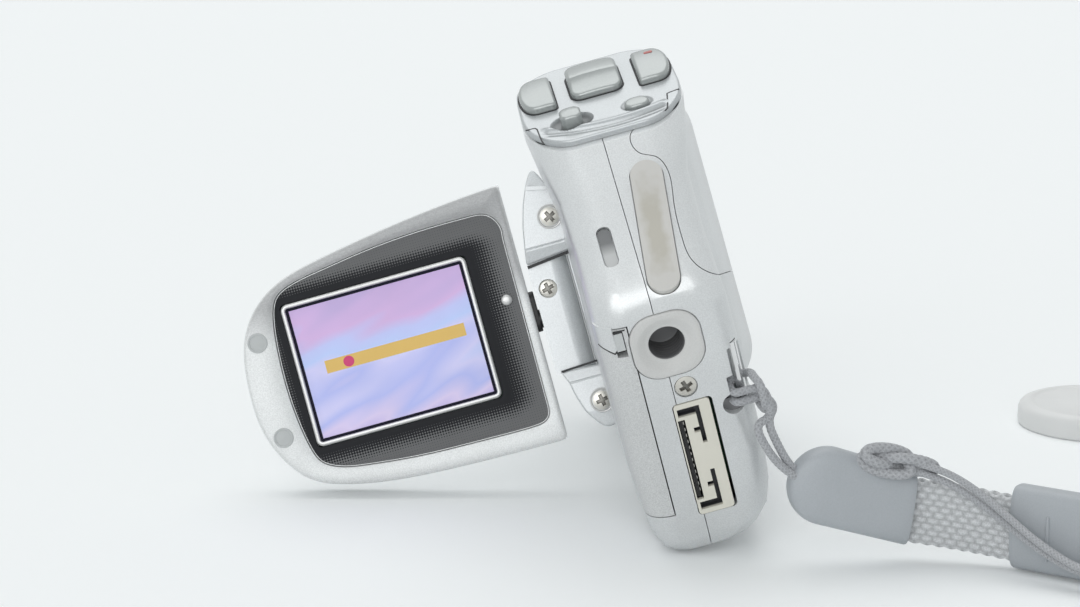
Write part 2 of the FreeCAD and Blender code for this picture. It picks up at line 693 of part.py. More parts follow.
node("speaker", rod("speaker_can", "5.5", "2.4", "-6", "50", "head_right-wall-3.4"), SIDE)

# ---------------------------------------------------------------- screen hinge
body_room = formed("body_room", outer)


def leaf(name, spots, right_top, right_low):
    """The outline of a hinge cover seen from behind: a curved left edge, then back along the head."""
    curve = Part.BSplineCurve()
    curve.interpolate([Vector(x, 0, z) for x, z in spots])
    start, end = Vector(spots[0][0], 0, spots[0][1]), Vector(spots[-1][0], 0, spots[-1][1])
    rest = [end, Vector(*right_top), Vector(*right_low), start]
    edges = [curve.toShape()] + [Part.LineSegment(a, b).toShape() for a, b in zip(rest, rest[1:])]
    return formed(name, Part.Face(Part.Wire(edges)).extrude(Vector(0, 100, 0)))


def hinge_cover(name, low, high, outline, tip_up):
    """A fixed hinge cover: round about the pin, seated on the head, and cut to its leaf outline."""
    length = f"({high})-({low})"
    barrel = rod(name + "_barrel", "cover_radius", length, "hinge_x", "hinge_y", low)
    foot = block(name + "_foot", "-head_left+1-hinge_x", "2*cover_radius", length,
                 "(hinge_x-head_left+1)/2", "hinge_y", low)
    solid = fuse(name + "_solid", barrel, foot)
    shaped = common(name + "_shaped", cut(name + "_seated", solid, body_room), outline)
    bore = rod(name + "_bore", "pin_radius+0.05", "5", "hinge_x", "hinge_y",
               low + "-0.5" if tip_up else high + "-4.5")
    return cut(name, shaped, bore)


LEAF_UP = [(-17.0, 6.6), (-16.6, 9.5), (-15.9, 13.3), (-14.9, 16.8), (-13.5, 20.2), (-12.4, 22.0),
           (-11.7, 22.4)]
LEAF_LOW = [(-16.3, -12.0), (-15.3, -14.4), (-14.85, -16.9), (-13.85, -19.9), (-12.4, -22.1),
            (-11.4, -23.1), (-10.3, -23.35)]
head_side = 1.5 - size("head_left")
upper_leaf = leaf("upper_leaf", LEAF_UP, (head_side, 0, 16.0), (head_side, 0, LEAF_UP[0][1]))
lower_leaf = leaf("lower_leaf", LEAF_LOW, (head_side, 0, -22.6), (head_side, 0, LEAF_LOW[0][1]))
upper = hinge_cover("cover_upper", "block_top+cover_gap", "cover_top", upper_leaf, True)
lower = hinge_cover("cover_lower", "cover_bottom", "block_bottom-cover_gap", lower_leaf, False)


def screw_seat(name, x, z):
    """The counterbore of a small screw in the back of the hinge."""
    seat = doc.addObject("Part::Cylinder", name + "_seat")
    bind(seat, Radius="1.6", Height="2.6")
    seat.Placement = Placement(Vector(x, size("hinge_y") - size("cover_radius") - 0.1, z),
                               Rotation(Vector(1, 0, 0), -90))
    return seat


UPPER_SCREW = (-11.35, 13.6)
LOWER_SCREW = (-11.35, -18.6)
BLOCK_SCREW = (-14.5, 2.1)


def small_screw(name, x, z, back):
    """A countersunk cross-head screw that faces back from a given distance forward."""
    frame = Placement(Vector(x, back, z), Rotation(Vector(1, 0, 0), 90))
    head = Part.makeCylinder(1.5, 0.8, Vector(0, 0, -0.8))
    stem = Part.makeCylinder(0.75, 0.9, Vector(0, 0, -1.7))
    shape = head.fuse(stem)
    for wide, tall in ((1.9, 0.42), (0.42, 1.9)):
        shape = shape.cut(Part.makeBox(wide, tall, 1, Vector(-wide / 2, -tall / 2, -0.4)))
    shape.Placement = frame
    return formed(name, shape)


hinge_back = size("hinge_y") - size("cover_radius")
node("hinge_cover_upper", cut("upper_seated", upper, screw_seat("upper_screw", *UPPER_SCREW)))
node("hinge_cover_lower", cut("lower_seated", lower, screw_seat("lower_screw", *LOWER_SCREW)))
node("hinge_cover_screws", [small_screw("upper_screw_body", *UPPER_SCREW, hinge_back + 0.3),
                            small_screw("lower_screw_body", *LOWER_SCREW, hinge_back + 0.3)])
node("hinge_pin", rod("pin", "pin_radius", "block_top-block_bottom+2*cover_gap+8.4", "hinge_x", "hinge_y",
                      "block_bottom-cover_gap-4.2"))

block_tall = "block_top-block_bottom"
block_round = rod("block_round", "block_radius", block_tall, "hinge_x", "hinge_y", "block_bottom")
block_flat = block("block_flat", "cover_radius", "2*block_radius", block_tall,
                   "hinge_x-cover_radius/2", "hinge_y", "block_bottom")
block_pin = rod("block_pin", "pin_radius+0.15", "40", "hinge_x", "hinge_y", "block_bottom-5")
block_solid = cut("block_bored", fuse("block_solid", block_round, block_flat), block_pin)
shaft_hole = doc.addObject("Part::Cylinder", "shaft_hole")
bind(shaft_hole, Radius="shaft_radius+0.15", Height="6")
shaft_hole.Placement = Placement(Vector(size("hinge_x") - size("pin_radius") - 0.5, size("hinge_y"),
                                        size("tilt_height")), Rotation(Vector(0, 1, 0), -90))
block_back = size("hinge_y") - size("block_radius")
block_seat = screw_seat("block_screw", *BLOCK_SCREW)
block_seat.Placement.Base.y = block_back - 0.1
node("hinge_block", cut("block_seated", cut("block_shafted", block_solid, shaft_hole), block_seat))
node("hinge_block_screw", small_screw("block_screw_body", *BLOCK_SCREW, block_back + 0.3))

ARM = Placement(Vector(size("hinge_x") - size("pin_radius") - 0.8, size("hinge_y"), size("tilt_height")),
                Rotation(Vector(0, 1, 0), -90))
shaft_length = "hinge_x-pin_radius-0.8-panel_edge+2.6"
node("tilt_shaft", rod("shaft", "shaft_radius", shaft_length, "0", "0", "0"), ARM)

# ---------------------------------------------------------------- screen panel
def stretched(spots):
    """Outline spots given as shares of the panel's length from its hinge edge, at real heights."""
    edge, long = size("panel_edge"), size("panel_long")
    return [(edge - share * long, height) for share, height in spots]


OUTLINE = [(0.0, 21.5), (0.236, 20.6), (0.464, 19.1), (0.661, 17.4), (0.804, 15.4), (0.899, 12.3),
           (0.968, 7.1), (0.996, -0.4), (0.988, -8.6), (0.942, -14.4), (0.872, -18.5), (0.751, -21.0),
           (0.63, -22.2), (0.516, -22.8), (0.308, -23.3), (0.15, -23.45), (0.0, -23.5)]
PRINT = [(0.03, 12.6), (0.038, 15.7), (0.068, 17.2), (0.12, 17.6), (0.25, 17.6), (0.396, 17.25),
         (0.52, 16.6), (0.64, 15.7), (0.76, 14.6), (0.825, 13.0), (0.854, 9.6), (0.868, 4.0), (0.872, -2.0),
         (0.864, -8.4), (0.847, -13.4), (0.825, -16.0), (0.78, -17.5), (0.67, -18.7), (0.52, -19.5),
         (0.365, -19.85), (0.21, -20.0), (0.1, -20.0), (0.052, -19.5), (0.034, -17.8)]
outline = stretched(OUTLINE)
opening = stretched(PRINT)


def drawn_in(spots, inset):
    """Outline spots moved inward by the inset, square to the outline on both sides of each spot."""
    moved = []
    for index, (x, z) in enumerate(spots):
        before, after = spots[index - 1], spots[(index + 1) % len(spots)]
        normals = []
        for (ax, az), (bx, bz) in ((before, (x, z)), ((x, z), after)):
            length = math.hypot(bx - ax, bz - az)
            normals.append(((az - bz) / length, (bx - ax) / length))
        (ax, az), (bx, bz) = normals
        share = inset / (1 + ax * bx + az * bz)
        moved.append((x + (ax + bx) * share, z + (az + bz) * share))
    return moved


def panel_plate(name, spots, inset, thickness, lift):
    """A plate of the panel's outline, drawn in by the inset, from a height in the panel."""
    points = [Vector(x, z, 0) for x, z in drawn_in(spots, inset)]
    curve = Part.BSplineCurve()
    curve.interpolate(points)
    wire = Part.Wire([curve.toShape(), Part.LineSegment(points[-1], points[0]).toShape()])
    return formed(name, Part.Face(wire).extrude(Vector(0, 0, thickness)).translated(Vector(0, 0, lift)))


half, back_wall, frame_thick = size("panel_half"), size("panel_wall"), size("frame_thick")
split = half - frame_thick
print_low = split + 0.7
back_outer = panel_plate("back_outer", outline, 0, split + half - 0.05, -half)
back_inner = panel_plate("back_inner", outline, back_wall, split + half, -half + back_wall)
shaft_bore = doc.addObject("Part::Cylinder", "panel_shaft_bore")
bind(shaft_bore, Radius="shaft_radius+0.05", Height="8")
shaft_bore.Placement = Placement(Vector(size("panel_edge") + 2, size("tilt_height"), 0),
                                 Rotation(Vector(0, 1, 0), -90))
node("lcd_back_cover", cut("back_cup", cut("back_hollow", back_outer, back_inner), shaft_bore), PANEL)

frame_outer = panel_plate("frame_outer", outline, 0, frame_thick, split)
frame_hole = panel_plate("frame_hole", opening, 0, frame_thick + 2, split - 1)
bumper_spots = [(size("panel_edge") - 0.925 * size("panel_long"), z) for z in (6.3, -10.4)]
bumper_seats = [rod(f"bumper_seat_{i}", "bumper_radius+0.1", "3", x, z, "panel_half-0.7")
                for i, (x, z) in enumerate(bumper_spots)]
pin_x, pin_z = size("panel_edge") - 3.8, 2.1
pin_seat = rod("lcd_pin_seat", "0.95", "3", pin_x, pin_z, "panel_half-1.6")
bezel_out_wide, bezel_out_tall = "screen_wide+2*bezel_wide", "screen_tall+2*bezel_wide"
bezel_hole = rounded_plate("bezel_hole", bezel_out_wide + "+0.2", bezel_out_tall + "+0.2", "0.9",
                           "5", "screen_x", "screen_z", "0")
frame_cut = cut("frame_opened", frame_outer, fuse("frame_cuts", frame_hole, bezel_hole, *bumper_seats))
node("lcd_front_frame", cut("frame_shafted", frame_cut, shaft_bore), PANEL)
node("lcd_bumpers", [rod(f"bumper_{i}", "bumper_radius", "0.8", x, z, "panel_half-0.7")
                     for i, (x, z) in enumerate(bumper_spots)], PANEL)
node("lcd_pin", rod("lcd_pin_rod", "0.85", "1.9", pin_x, pin_z, "panel_half-1.55"), PANEL)

print_plate = panel_plate("print_plate", opening, 0.12, size("print_thick"), print_low)
node("lcd_print_panel", cut("print_opened", print_plate, fuse("print_cuts", bezel_hole, pin_seat)), PANEL)
bezel_lift = str(split + 0.4)
bezel_block = rounded_plate("bezel_block", bezel_out_wide, bezel_out_tall, "0.8",
                            "1.75", "screen_x", "screen_z", bezel_lift)
bezel_opening = rounded_plate("bezel_opening", "screen_wide+0.1", "screen_tall+0.1", "0.25", "5",
                              "screen_x", "screen_z", "0")
node("lcd_screen_bezel", cut("bezel_ring", bezel_block, bezel_opening), PANEL)
node("lcd_display", rounded_plate("display_glass", "screen_wide", "screen_tall", "0.2", "2.6",
                                  "screen_x", "screen_z", "-0.1"), PANEL)
node("lcd_board", rounded_plate("lcd_circuit", "36", "30", "1", "0.9", "screen_x+1.5", "screen_z",
                                "-panel_half+panel_wall+0.15"), PANEL)

# ---------------------------------------------------------------- lens, drawn along the lens axis
ring = fuse("ring_solid", rod("ring_front", "ring_radius", "ring_length", "0", "0", "body_length+0.1"),
            rod("ring_spigot", "ring_radius-1.4", "3", "0", "0", "body_length-2.8"))
ring_bore_low = rod("ring_bore_low", "ring_bore", "9", "0", "0", "body_length-4")
ring_bell = cone("ring_bell", "ring_bore", "ring_bore+1.6", "1.4", "0", "0", "body_length+ring_length-1.2")
node("lens_ring", cut("ring_bored", ring, fuse("ring_bores", ring_bore_low, ring_bell)), LENS)
node("lens_front_glass", rod("front_glass", "ring_bore-0.1", "1.6", "0", "0", "body_length-1.4"), LENS)
barrel_start = "bulkhead_y+bulkhead_thick+1.3"
barrel_long = "body_length-3-(" + barrel_start + ")"
barrel_tube = rod("barrel_tube", "barrel_radius", barrel_long, "0", "0", barrel_start)
barrel_bore = rod("barrel_bore", "barrel_radius-barrel_wall", "body_length", "0", "0", "bulkhead_y")
node("lens_barrel", cut("barrel", barrel_tube, barrel_bore), LENS)
for name, start, length in (("zoom_group", "bulkhead_y+24", "6"), ("focus_group", "bulkhead_y+9", "3")):
    carrier = rod(name + "_carrier", "barrel_radius-barrel_wall-0.15", length, "0", "0", start)
    dish = doc.addObject("Part::Sphere", name + "_dish")
    bind(dish, Radius="14", Placement__Base__z=start + "+" + length + "+13")
    node(name, cut(name + "_lens", carrier, dish), LENS)
sensor_chip = block("sensor_chip", "8", "7", "1", "0", "0", "bulkhead_y+bulkhead_thick+1.1")
sensor_card = block("sensor_card", "15", "26", "1", "0", "0", "bulkhead_y+bulkhead_thick+0.1")
node("image_sensor", fuse("sensor", sensor_card, sensor_chip), LENS)
flash_glass = rounded_plate("flash_glass", "11", "5", "1.2", "2.2", "0", "-15.2", "body_length-2.1")
node("flash_window", flash_glass, LENS)
node("microphones", [rod(f"microphone_{side}", "1.2", "1.6", 4 * side, "15.6", "body_length-2.1")
                     for side in (-1, 1)], LENS)
node("flash_capacitor", rod("capacitor", "3.8", "18", "10.1-lens_x", "lens_z-17", "62"), LENS)

# ---------------------------------------------------------------- chassis and main board
bulkhead = block("bulkhead", "head_left+head_right-wall*2-2.2", "37", "bulkhead_thick",
                 "(head_right-head_left)/2-lens_x+0.3", "lens_z-3", "bulkhead_y")
bulkhead_hole = rod("bulkhead_hole", "4", "9", "-4", "-13", "bulkhead_y-2")
side_plate = block("side_plate", "1.2", "22", "body_length-12-bulkhead_y", "head_right-wall-0.3-0.6-lens_x",
                   "lens_z-1", "bulkhead_y")
node("chassis_frame", cut("chassis", fuse("chassis_solid", bulkhead, side_plate), bulkhead_hole), LENS)
main_circuit = block("main_circuit", "1", "33", "body_length-bulkhead_y-16", "-head_left+wall+0.7-lens_x",
                     "lens_z-3", "bulkhead_y+bulkhead_thick+2.5")
node("main_board", main_circuit, LENS)

# ---------------------------------------------------------------- stance on the table
doc.recompute()
leaned = Rotation(Vector(1, 0, 0), -size("nose_down")).multiply(Rotation(Vector(0, 1, 0), -size("lean")))


def stand():
    """The placement that leans the camera and puts its footprint's middle at the origin."""
    posed = []
    for part, frame in nodes.values():
        shape = part.Shape.copy()
        shape.Placement = Placement(Vector(), leaned).multiply(frame).multiply(shape.Placement)
        posed.append(shape.optimalBoundingBox(False, False))
    low = Vector(min(b.XMin for b in posed), min(b.YMin for b in posed), min(b.ZMin for b in posed))
    high = Vector(max(b.XMax for b in posed), max(b.YMax for b in posed), 0)
    middle = Vector((low.x + high.x) / 2, (low.y + high.y) / 2, low.z)
    return Placement(middle.negative(), leaned)


STAND = stand()
TABLE = STAND.inverse()


# ---------------------------------------------------------------- wrist strap and lens cap, on the table
def lying(x, y, z, yaw, dip):
    """A place on the table; its own x runs along a piece, its y up and its z towards the viewer."""
    turn = Rotation(Vector(0, 0, 1), yaw).multiply(Rotation(Vector(0, 1, 0), dip))
    return TABLE.multiply(Placement(Vector(x, y, z), turn.multiply(Rotation(Vector(1, 0, 0), 90))))


def route(label, spots):
    """A wire of straight runs joined at each inner spot by an arc as large as its two runs allow."""
    points = [Vector(*spot) for spot in spots]
    edges, radii = [], []
    start = points[0]
    for before, corner, after in zip(points, points[1:], points[2:]):
        back, ahead = before - corner, after - corner
        cut_off = 0.45 * min(back.Length, ahead.Length)
        back.normalize()
        ahead.normalize()
        half_turn = (math.pi - back.getAngle(ahead)) / 2
        radius = cut_off / math.tan(half_turn)
        inward = (back + ahead).normalize() * (radius / math.cos(half_turn) - radius)
        first, last = corner + back * cut_off, corner + ahead * cut_off
        edges.append(Part.LineSegment(start, first).toShape())
        edges.append(Part.Arc(first, corner + inward, last).toShape())
        radii.append(round(radius, 1))
        start = last
    edges.append(Part.LineSegment(start, points[-1]).toShape())
    wire = Part.Wire(edges)
    print(label, "length", round(wire.Length, 1), "radii", radii)
    return wire


def swept(label, path, section):
    """A section carried along a path, its volume compared with its area times the path's length."""
    solid = path.makePipeShell([section], True, True)
    area = Part.Face(section).Area
    print(label, "volume over area times length", round(solid.Volume / (area * path.Length), 4))
    return solid


def tube(label, spots, radius):
    """A round cord along its spots."""
    path = route(label, spots)
    ahead = Vector(*spots[1]) - Vector(*spots[0])
    return swept(label, path, Part.Wire(Part.makeCircle(radius, Vector(*spots[0]), ahead)))


# the knot round the bar, and the cord from it down to the first sleeve
CORD = [(39.9, -53.7, 25.8), (40.7, -53.1, 22.3), (42.9, -51.7, 18.0), (46.2, -49.9, 14.7)]
on_bar = STAND.multiply(BAR)
knot_low, knot_tall = 0.9, 3.9
knot_ring = Part.makeCylinder(size("knot_radius"), knot_tall, Vector(size("bar_offset"), 0, knot_low))
knot_ring.Placement = on_bar
knot_start = on_bar.multVec(Vector(size("bar_offset"), 0, knot_low + knot_tall / 2))
knot_run = Vector(*CORD[0]) - knot_start
knot_body = knot_ring.fuse(Part.makeCylinder(size("knot_radius"), knot_run.Length, knot_start, knot_run))
bar_room = Part.makeCylinder(size("bar_radius") + 0.06, 20, Vector(size("bar_offset"), 0, -5))
bar_room.Placement = on_bar
node("strap_knot", formed("knot_form", knot_body.cut(bar_room)), TABLE)

half_tall = "sleeve_tall/2"
SLEEVE = lying(45.2, -49.4, 15.0, 11, 17.5)
sleeve_tip = rod("sleeve_tip", half_tall, "sleeve_thick", half_tall, "0", "-sleeve_thick/2")
sleeve_body = block("sleeve_body", "sleeve_long-sleeve_tall/2", "sleeve_tall", "sleeve_thick",
                    "sleeve_tall/4+sleeve_long/2", "0", "-sleeve_thick/2")
node("strap_sleeve", fuse("sleeve", sleeve_tip, sleeve_body), SLEEVE)
END_SLEEVE = lying(80.5, -49.4, 0.4, -34.5, 0)
end_sleeve = rounded_plate("end_sleeve", "sleeve_thick", "end_sleeve_tall", "1.8", "end_sleeve_long",
                           "0", "end_sleeve_tall/2")
END_LONG = END_SLEEVE.multiply(Placement(Vector(), Rotation(Vector(0, 1, 0), 90)))
node("strap_end_sleeve", end_sleeve, END_LONG)
CAP = TABLE.multiply(Placement(Vector(111.3, 40.2, 0.05), Rotation()))
cap_disc = rod("cap_disc", "cap_radius", "cap_tall", "0", "0", "0")
cap_groove = cut("cap_groove", rod("cap_room", "cap_radius-cap_wall", "cap_tall-1.7", "0", "0", "0"),
                 cut("cap_snap", rod("cap_snap_out", "ring_radius+1.3", "cap_tall", "0", "0", "0"),
                     rod("cap_snap_in", "ring_radius+0.15", "cap_tall", "0", "0", "0")))
cap_tab = rounded_plate("cap_tab", "4.6", "5", "1.2", "1.6", "2.2", "-cap_radius-1.4", "0.9")
node("lens_cap", fuse("cap_with_tab", cut("cap_hollow", cap_disc, cap_groove), cap_tab), CAP)
doc.recompute()


def on_table(label):
    """A sub-part's shape where it lies on the table."""
    part, frame = nodes[label]
    shape = part.Shape.copy()
    shape.Placement = STAND.multiply(frame).multiply(shape.Placement)
    return shape


sleeves = on_table("strap_sleeve").fuse(on_table("strap_end_sleeve"))
cord_solid = tube("strap_cord", CORD, size("cord_radius"))
node("strap_cord", formed("cord_form", cord_solid.cut(sleeves).cut(knot_body)), TABLE)

# the webbing stands on its edge: out along the near layer, round the loop and back along the far one
WEBBING = [(62.5, -45.6), (72.3, -47.4), (81.4, -50.8), (90.0, -56.6), (98.6, -62.6), (110.0, -69.6),
           (125.0, -72.5), (139.0, -66.5), (144.5, -53.0), (137.0, -41.5), (123.5, -39.0), (111.0, -46.5),
           (100.0, -58.9), (90.8, -55.1), (82.2, -49.3), (72.9, -45.9), (63.0, -44.0)]
BAND_FOOT = [(50, 4.6), (66, 3.4), (81, 1.6), (95, 0.4), (200, 0.3)]
band_route = route("strap_webbing", [(x, y, 0) for x, y in WEBBING])
room_tall = 20
start = Vector(*WEBBING[0], 0)
ahead = (Vector(*WEBBING[1], 0) - start).normalize()
aside = Vector(-ahead.y, ahead.x, 0) * (size("band_thick") / 2)
up = Vector(0, 0, room_tall)
corners = [start - aside, start + aside, start + aside + up, start - aside + up]
section = Part.makePolygon(corners + corners[:1])
band = swept("strap_webbing", band_route, section)
profile = [Vector(x, -120, z) for x, z in BAND_FOOT]
profile += [Vector(x, -120, z + size("band_tall")) for x, z in reversed(BAND_FOOT)]
slab = Part.Face(Part.makePolygon(profile + [profile[0]])).extrude(Vector(0, 120, 0))
node("strap_webbing", formed("webbing_form", band.common(slab).cut(sleeves)), TABLE)

# the cap's tether is knotted to the first sleeve's upper corner, crosses in front of the webbing, rises
# over the loop and comes down to the cap
TETHER = [(63.4, -48.6, 16.6), (68.0, -49.4, 15.6), (73.0, -50.6, 13.1), (78.0, -53.0, 9.3),
          (83.4, -57.8, 5.5), (88.9, -62.0, 3.1), (96.0, -67.6, 3.4), (102.6, -72.4, 7.6),
          (108.6, -69.4, 12.9), (111.0, -57.0, 13.8), (112.6, -43.5, 12.4), (117.0, -29.5, 4.9),
          (121.0, -14.0, 1.6), (121.6, 2.0, 1.4), (118.8, 14.5, 1.4), (114.4, 24.4, 1.7)]
tether_solid = tube("cap_tether", TETHER, size("tether_radius"))
knot_middle = Vector(62.0, -48.4, 16.8)
tether_knot = Part.makeTorus(2.6, size("tether_radius"), knot_middle, Vector(0.25, 1, 0.35))
tether_solid = tether_solid.fuse(tether_knot).cut(sleeves).cut(on_table("lens_cap"))
node("cap_tether", formed("tether_form", tether_solid), TABLE)

doc.recompute()

for part, frame in nodes.values():
    part.Placement = STAND.multiply(frame)
doc.recompute()

# ---------------------------------------------------------------- checks and export
print("stand", [round(v, 3) for v in STAND.Base], "leaned", [round(v, 4) for v in leaned.getYawPitchRoll()])
failed = [thing.Name for thing in doc.Objects if {"Invalid", "Error"} & set(thing.State)]
broken = [label for label, (part, frame) in nodes.items() if part.Shape.isNull() or not part.Shape.isValid()
          or not part.Shape.Solids]
if failed or broken:
    raise SystemExit(f"failed objects {failed}, unsound sub-parts {broken}")
os.makedirs("parts", exist_ok=True)
for label, (part, frame) in nodes.items():
    part.Shape.exportStep(os.path.join("parts", label + ".step"))
print(len(nodes), "sub-parts written")
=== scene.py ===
import json
import math

import bmesh
import bpy
import numpy as np
from mathutils import Matrix, Vector


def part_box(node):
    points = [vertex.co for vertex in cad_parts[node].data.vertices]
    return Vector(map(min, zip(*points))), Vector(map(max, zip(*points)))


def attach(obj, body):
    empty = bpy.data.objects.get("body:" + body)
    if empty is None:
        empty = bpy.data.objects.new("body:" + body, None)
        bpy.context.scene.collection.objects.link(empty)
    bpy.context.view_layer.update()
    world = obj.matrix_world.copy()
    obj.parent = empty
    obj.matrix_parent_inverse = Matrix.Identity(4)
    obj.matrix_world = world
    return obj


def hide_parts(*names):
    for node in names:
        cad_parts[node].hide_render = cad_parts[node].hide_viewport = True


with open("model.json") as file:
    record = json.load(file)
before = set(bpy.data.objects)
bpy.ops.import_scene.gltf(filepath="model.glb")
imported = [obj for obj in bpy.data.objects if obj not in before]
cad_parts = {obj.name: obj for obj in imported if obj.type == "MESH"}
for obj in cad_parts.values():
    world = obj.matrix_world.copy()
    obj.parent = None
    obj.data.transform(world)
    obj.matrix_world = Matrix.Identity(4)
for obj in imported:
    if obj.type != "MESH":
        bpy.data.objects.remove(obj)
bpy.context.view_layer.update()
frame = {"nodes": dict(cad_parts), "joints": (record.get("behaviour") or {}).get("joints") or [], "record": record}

# ---- The camera's own directions ----
# The body leans on its heel, its nose and its open screen. The screen's tilt axis runs across it, the
# zoom group slides along the lens, and the screen swings about a line that runs up the body.
joints = {joint["name"]: joint for joint in frame["joints"]}
mounts = {mount["name"]: mount for mount in frame["record"]["mounts"]}


def unit(values):
    """Each direction divided by its own length."""
    values = np.array(values, float)
    return values / np.linalg.norm(values, axis=-1, keepdims=True)


ACROSS = unit(joints["screen_tilt"]["axis"])
FORWARD = unit(joints["zoom_travel"]["axis"])
UPWARD = unit(joints["screen_swing"]["axis"])
HINGE = np.array(joints["screen_swing"]["pos_m"])
MILLIMETRE = 0.001


class Place:
    """A flat drawing board on the camera: a point plus three directions, measured in millimetres."""

    def __init__(self, origin, x, y, z):
        self.origin = np.array(origin, float)
        self.axes = np.array([unit(x), unit(y), unit(z)])

    def point(self, x, y, z):
        """Origin plus each coordinate times its own direction."""
        spots = np.stack(np.broadcast_arrays(*(np.asarray(v, float) for v in (x, y, z))), -1)
        return self.origin + (spots * MILLIMETRE) @ self.axes


# from the screen's swing axis to the bend of the back, in millimetres
bend_right, bend_back = 13, 57
BODY = Place(HINGE + (bend_right * ACROSS - bend_back * FORWARD) * MILLIMETRE, ACROSS, FORWARD, UPWARD)


def facing(origin, out):
    """A drawing board square to a direction, with its x across the camera."""
    return Place(origin, ACROSS, np.cross(out, ACROSS), out)


# ---- Studio: table, backdrop and lamps ----
# A pale sheet runs under and behind the camera. One broad lamp above and behind gives the bright upper
# edges, one in front fills the back of the body, and the room's even light does the rest.
class Tone:
    """A number that a material or the room works out; each step of arithmetic adds a node to its tree."""

    def __init__(self, tree, socket):
        self.tree = tree
        self.socket = socket

    def __add__(self, other):
        return worked(self.tree, "ADD", self, other)

    def __sub__(self, other):
        return worked(self.tree, "SUBTRACT", self, other)

    def __rsub__(self, other):
        return worked(self.tree, "SUBTRACT", other, self)

    def __mul__(self, other):
        return worked(self.tree, "MULTIPLY", self, other)

    def __truediv__(self, other):
        return worked(self.tree, "DIVIDE", self, other)

    def held(self):
        """The same number kept between nought and one."""
        self.socket.node.use_clamp = True
        return self


def feed(tree, socket, value):
    """Joins a tone or another socket to a socket, or sets it to a plain value."""
    value = getattr(value, "socket", value)
    if isinstance(value, bpy.types.NodeSocket):
        tree.links.new(value, socket)
    else:
        socket.default_value = value


def fed(tree, node, **values):
    """Feeds a node's inputs by name, with an underscore for a space, and gives the node back."""
    for name, value in values.items():
        feed(tree, node.inputs[name.replace("_", " ")], value)
    return node


def added(tree, kind, **values):
    """A new node of a kind with its inputs fed."""
    return fed(tree, tree.nodes.new("ShaderNode" + kind), **values)


def worked(tree, operation, *values):
    """One step of arithmetic in a node tree."""
    step = added(tree, "Math")
    step.operation = operation
    for socket, value in zip(step.inputs, values):
        feed(tree, socket, value)
    return Tone(tree, step.outputs["Value"])


def material(name):
    """An empty node material with its tree and its shader."""
    made = bpy.data.materials.new(name)
    made.use_nodes = True
    return made, made.node_tree, made.node_tree.nodes["Principled BSDF"]


PALE = (0.86, 0.89, 0.895, 1)
table_lift, room_light = 0.085, 0.55
sheet_finish, tree, shader = material("pale_sheet")
seen = Tone(tree, added(tree, "LightPath").outputs["Is Camera Ray"])
fed(tree, shader, Base_Color=(0.925, 0.945, 0.95, 1), Roughness=0.75, Specular_IOR_Level=0.2,
    Emission_Color=PALE, Emission_Strength=seen * table_lift)
bpy.ops.mesh.primitive_plane_add(size=8)
table = bpy.context.object
table.name = "table_sheet"
table.data.materials.append(sheet_finish)

world = bpy.data.worlds.new("studio_room")
bpy.context.scene.world = world
world.use_nodes = True
tree = world.node_tree
rays = added(tree, "LightPath").outputs
seen = worked(tree, "MAXIMUM", rays["Is Camera Ray"], rays["Is Transmission Ray"])
seen = worked(tree, "MAXIMUM", seen, rays["Is Glossy Ray"])
fed(tree, tree.nodes["Background"], Color=PALE, Strength=seen * (1 - room_light) + room_light)


def sun(name, towards, strength, spread):
    """A broad distant lamp that shines along a direction."""
    lamp = bpy.data.lights.new(name, "SUN")
    lamp.energy = strength
    lamp.angle = math.radians(spread)
    holder = bpy.data.objects.new(name, lamp)
    holder.rotation_euler = Vector(towards).to_track_quat("-Z", "Y").to_euler()
    bpy.context.scene.collection.objects.link(holder)


sun("lamp_above", (0.15, -0.35, -1.0), 0.95, 60)
sun("lamp_front", (0.25, 0.95, -0.3), 0.95, 50)

# the viewer looks along the lens from 40 cm behind the bend, level with the hinge
view = bpy.data.cameras.new("viewer")
view.sensor_width = 36
view.lens = 88.93
viewer = bpy.data.objects.new("viewer", view)
viewer.location = BODY.point(-16.5, -400, 0)
viewer.rotation_euler = Vector(FORWARD).to_track_quat("-Z", "Y").to_euler()
bpy.context.scene.collection.objects.link(viewer)
bpy.context.scene.camera = viewer
bpy.context.scene.view_settings.view_transform = "Standard"


# ---- Shells, panels and other moulded pieces of the frame ----
# The body is moulded in plastic and painted silver with a fine metallic fleck; trim and covers are bare
# moulded plastic. Each finish is worked out in the material from the piece's own coordinates.
def ranged(tree, value, *limits):
    """A number carried from one range to another, given as two lows and highs, and kept inside it."""
    step = added(tree, "MapRange", Value=value)
    for socket, limit in zip(step.inputs[1:5], limits):
        socket.default_value = limit
    return Tone(tree, step.outputs["Result"])


def noise(tree, spot, scale, detail=2.0):
    """Cloudy noise over a spot."""
    return Tone(tree, added(tree, "TexNoise", Vector=spot, Scale=scale, Detail=detail).outputs["Fac"])


def moulded(name, colour, rough, fleck=0.0, grain=0.15, metallic=0.0, coat=0.0, **more):
    """Plastic: colour varied by two noises, the fine one as flecks, and a bump of fine grain."""
    made, tree, shader = material(name)
    spot = added(tree, "TexCoord").outputs["Object"]
    fine, broad = 5200, 60
    dust = noise(tree, spot, fine)
    sparkle = ranged(tree, dust, 0.35, 0.65, 1 - fleck, 1 + fleck)
    tint = added(tree, "VectorMath")
    tint.operation = "SCALE"
    tint.inputs[0].default_value = colour
    levels = ranged(tree, noise(tree, spot, broad, 4), 0.3, 0.7, 0.95, 1.04)
    feed(tree, tint.inputs["Scale"], levels * sparkle)
    bump = added(tree, "Bump", Strength=grain, Distance=0.00002, Height=dust)
    fed(tree, shader, Base_Color=tint.outputs["Vector"], Normal=bump.outputs["Normal"], Roughness=rough,
        Metallic=metallic, Coat_Weight=coat, **more)
    return made


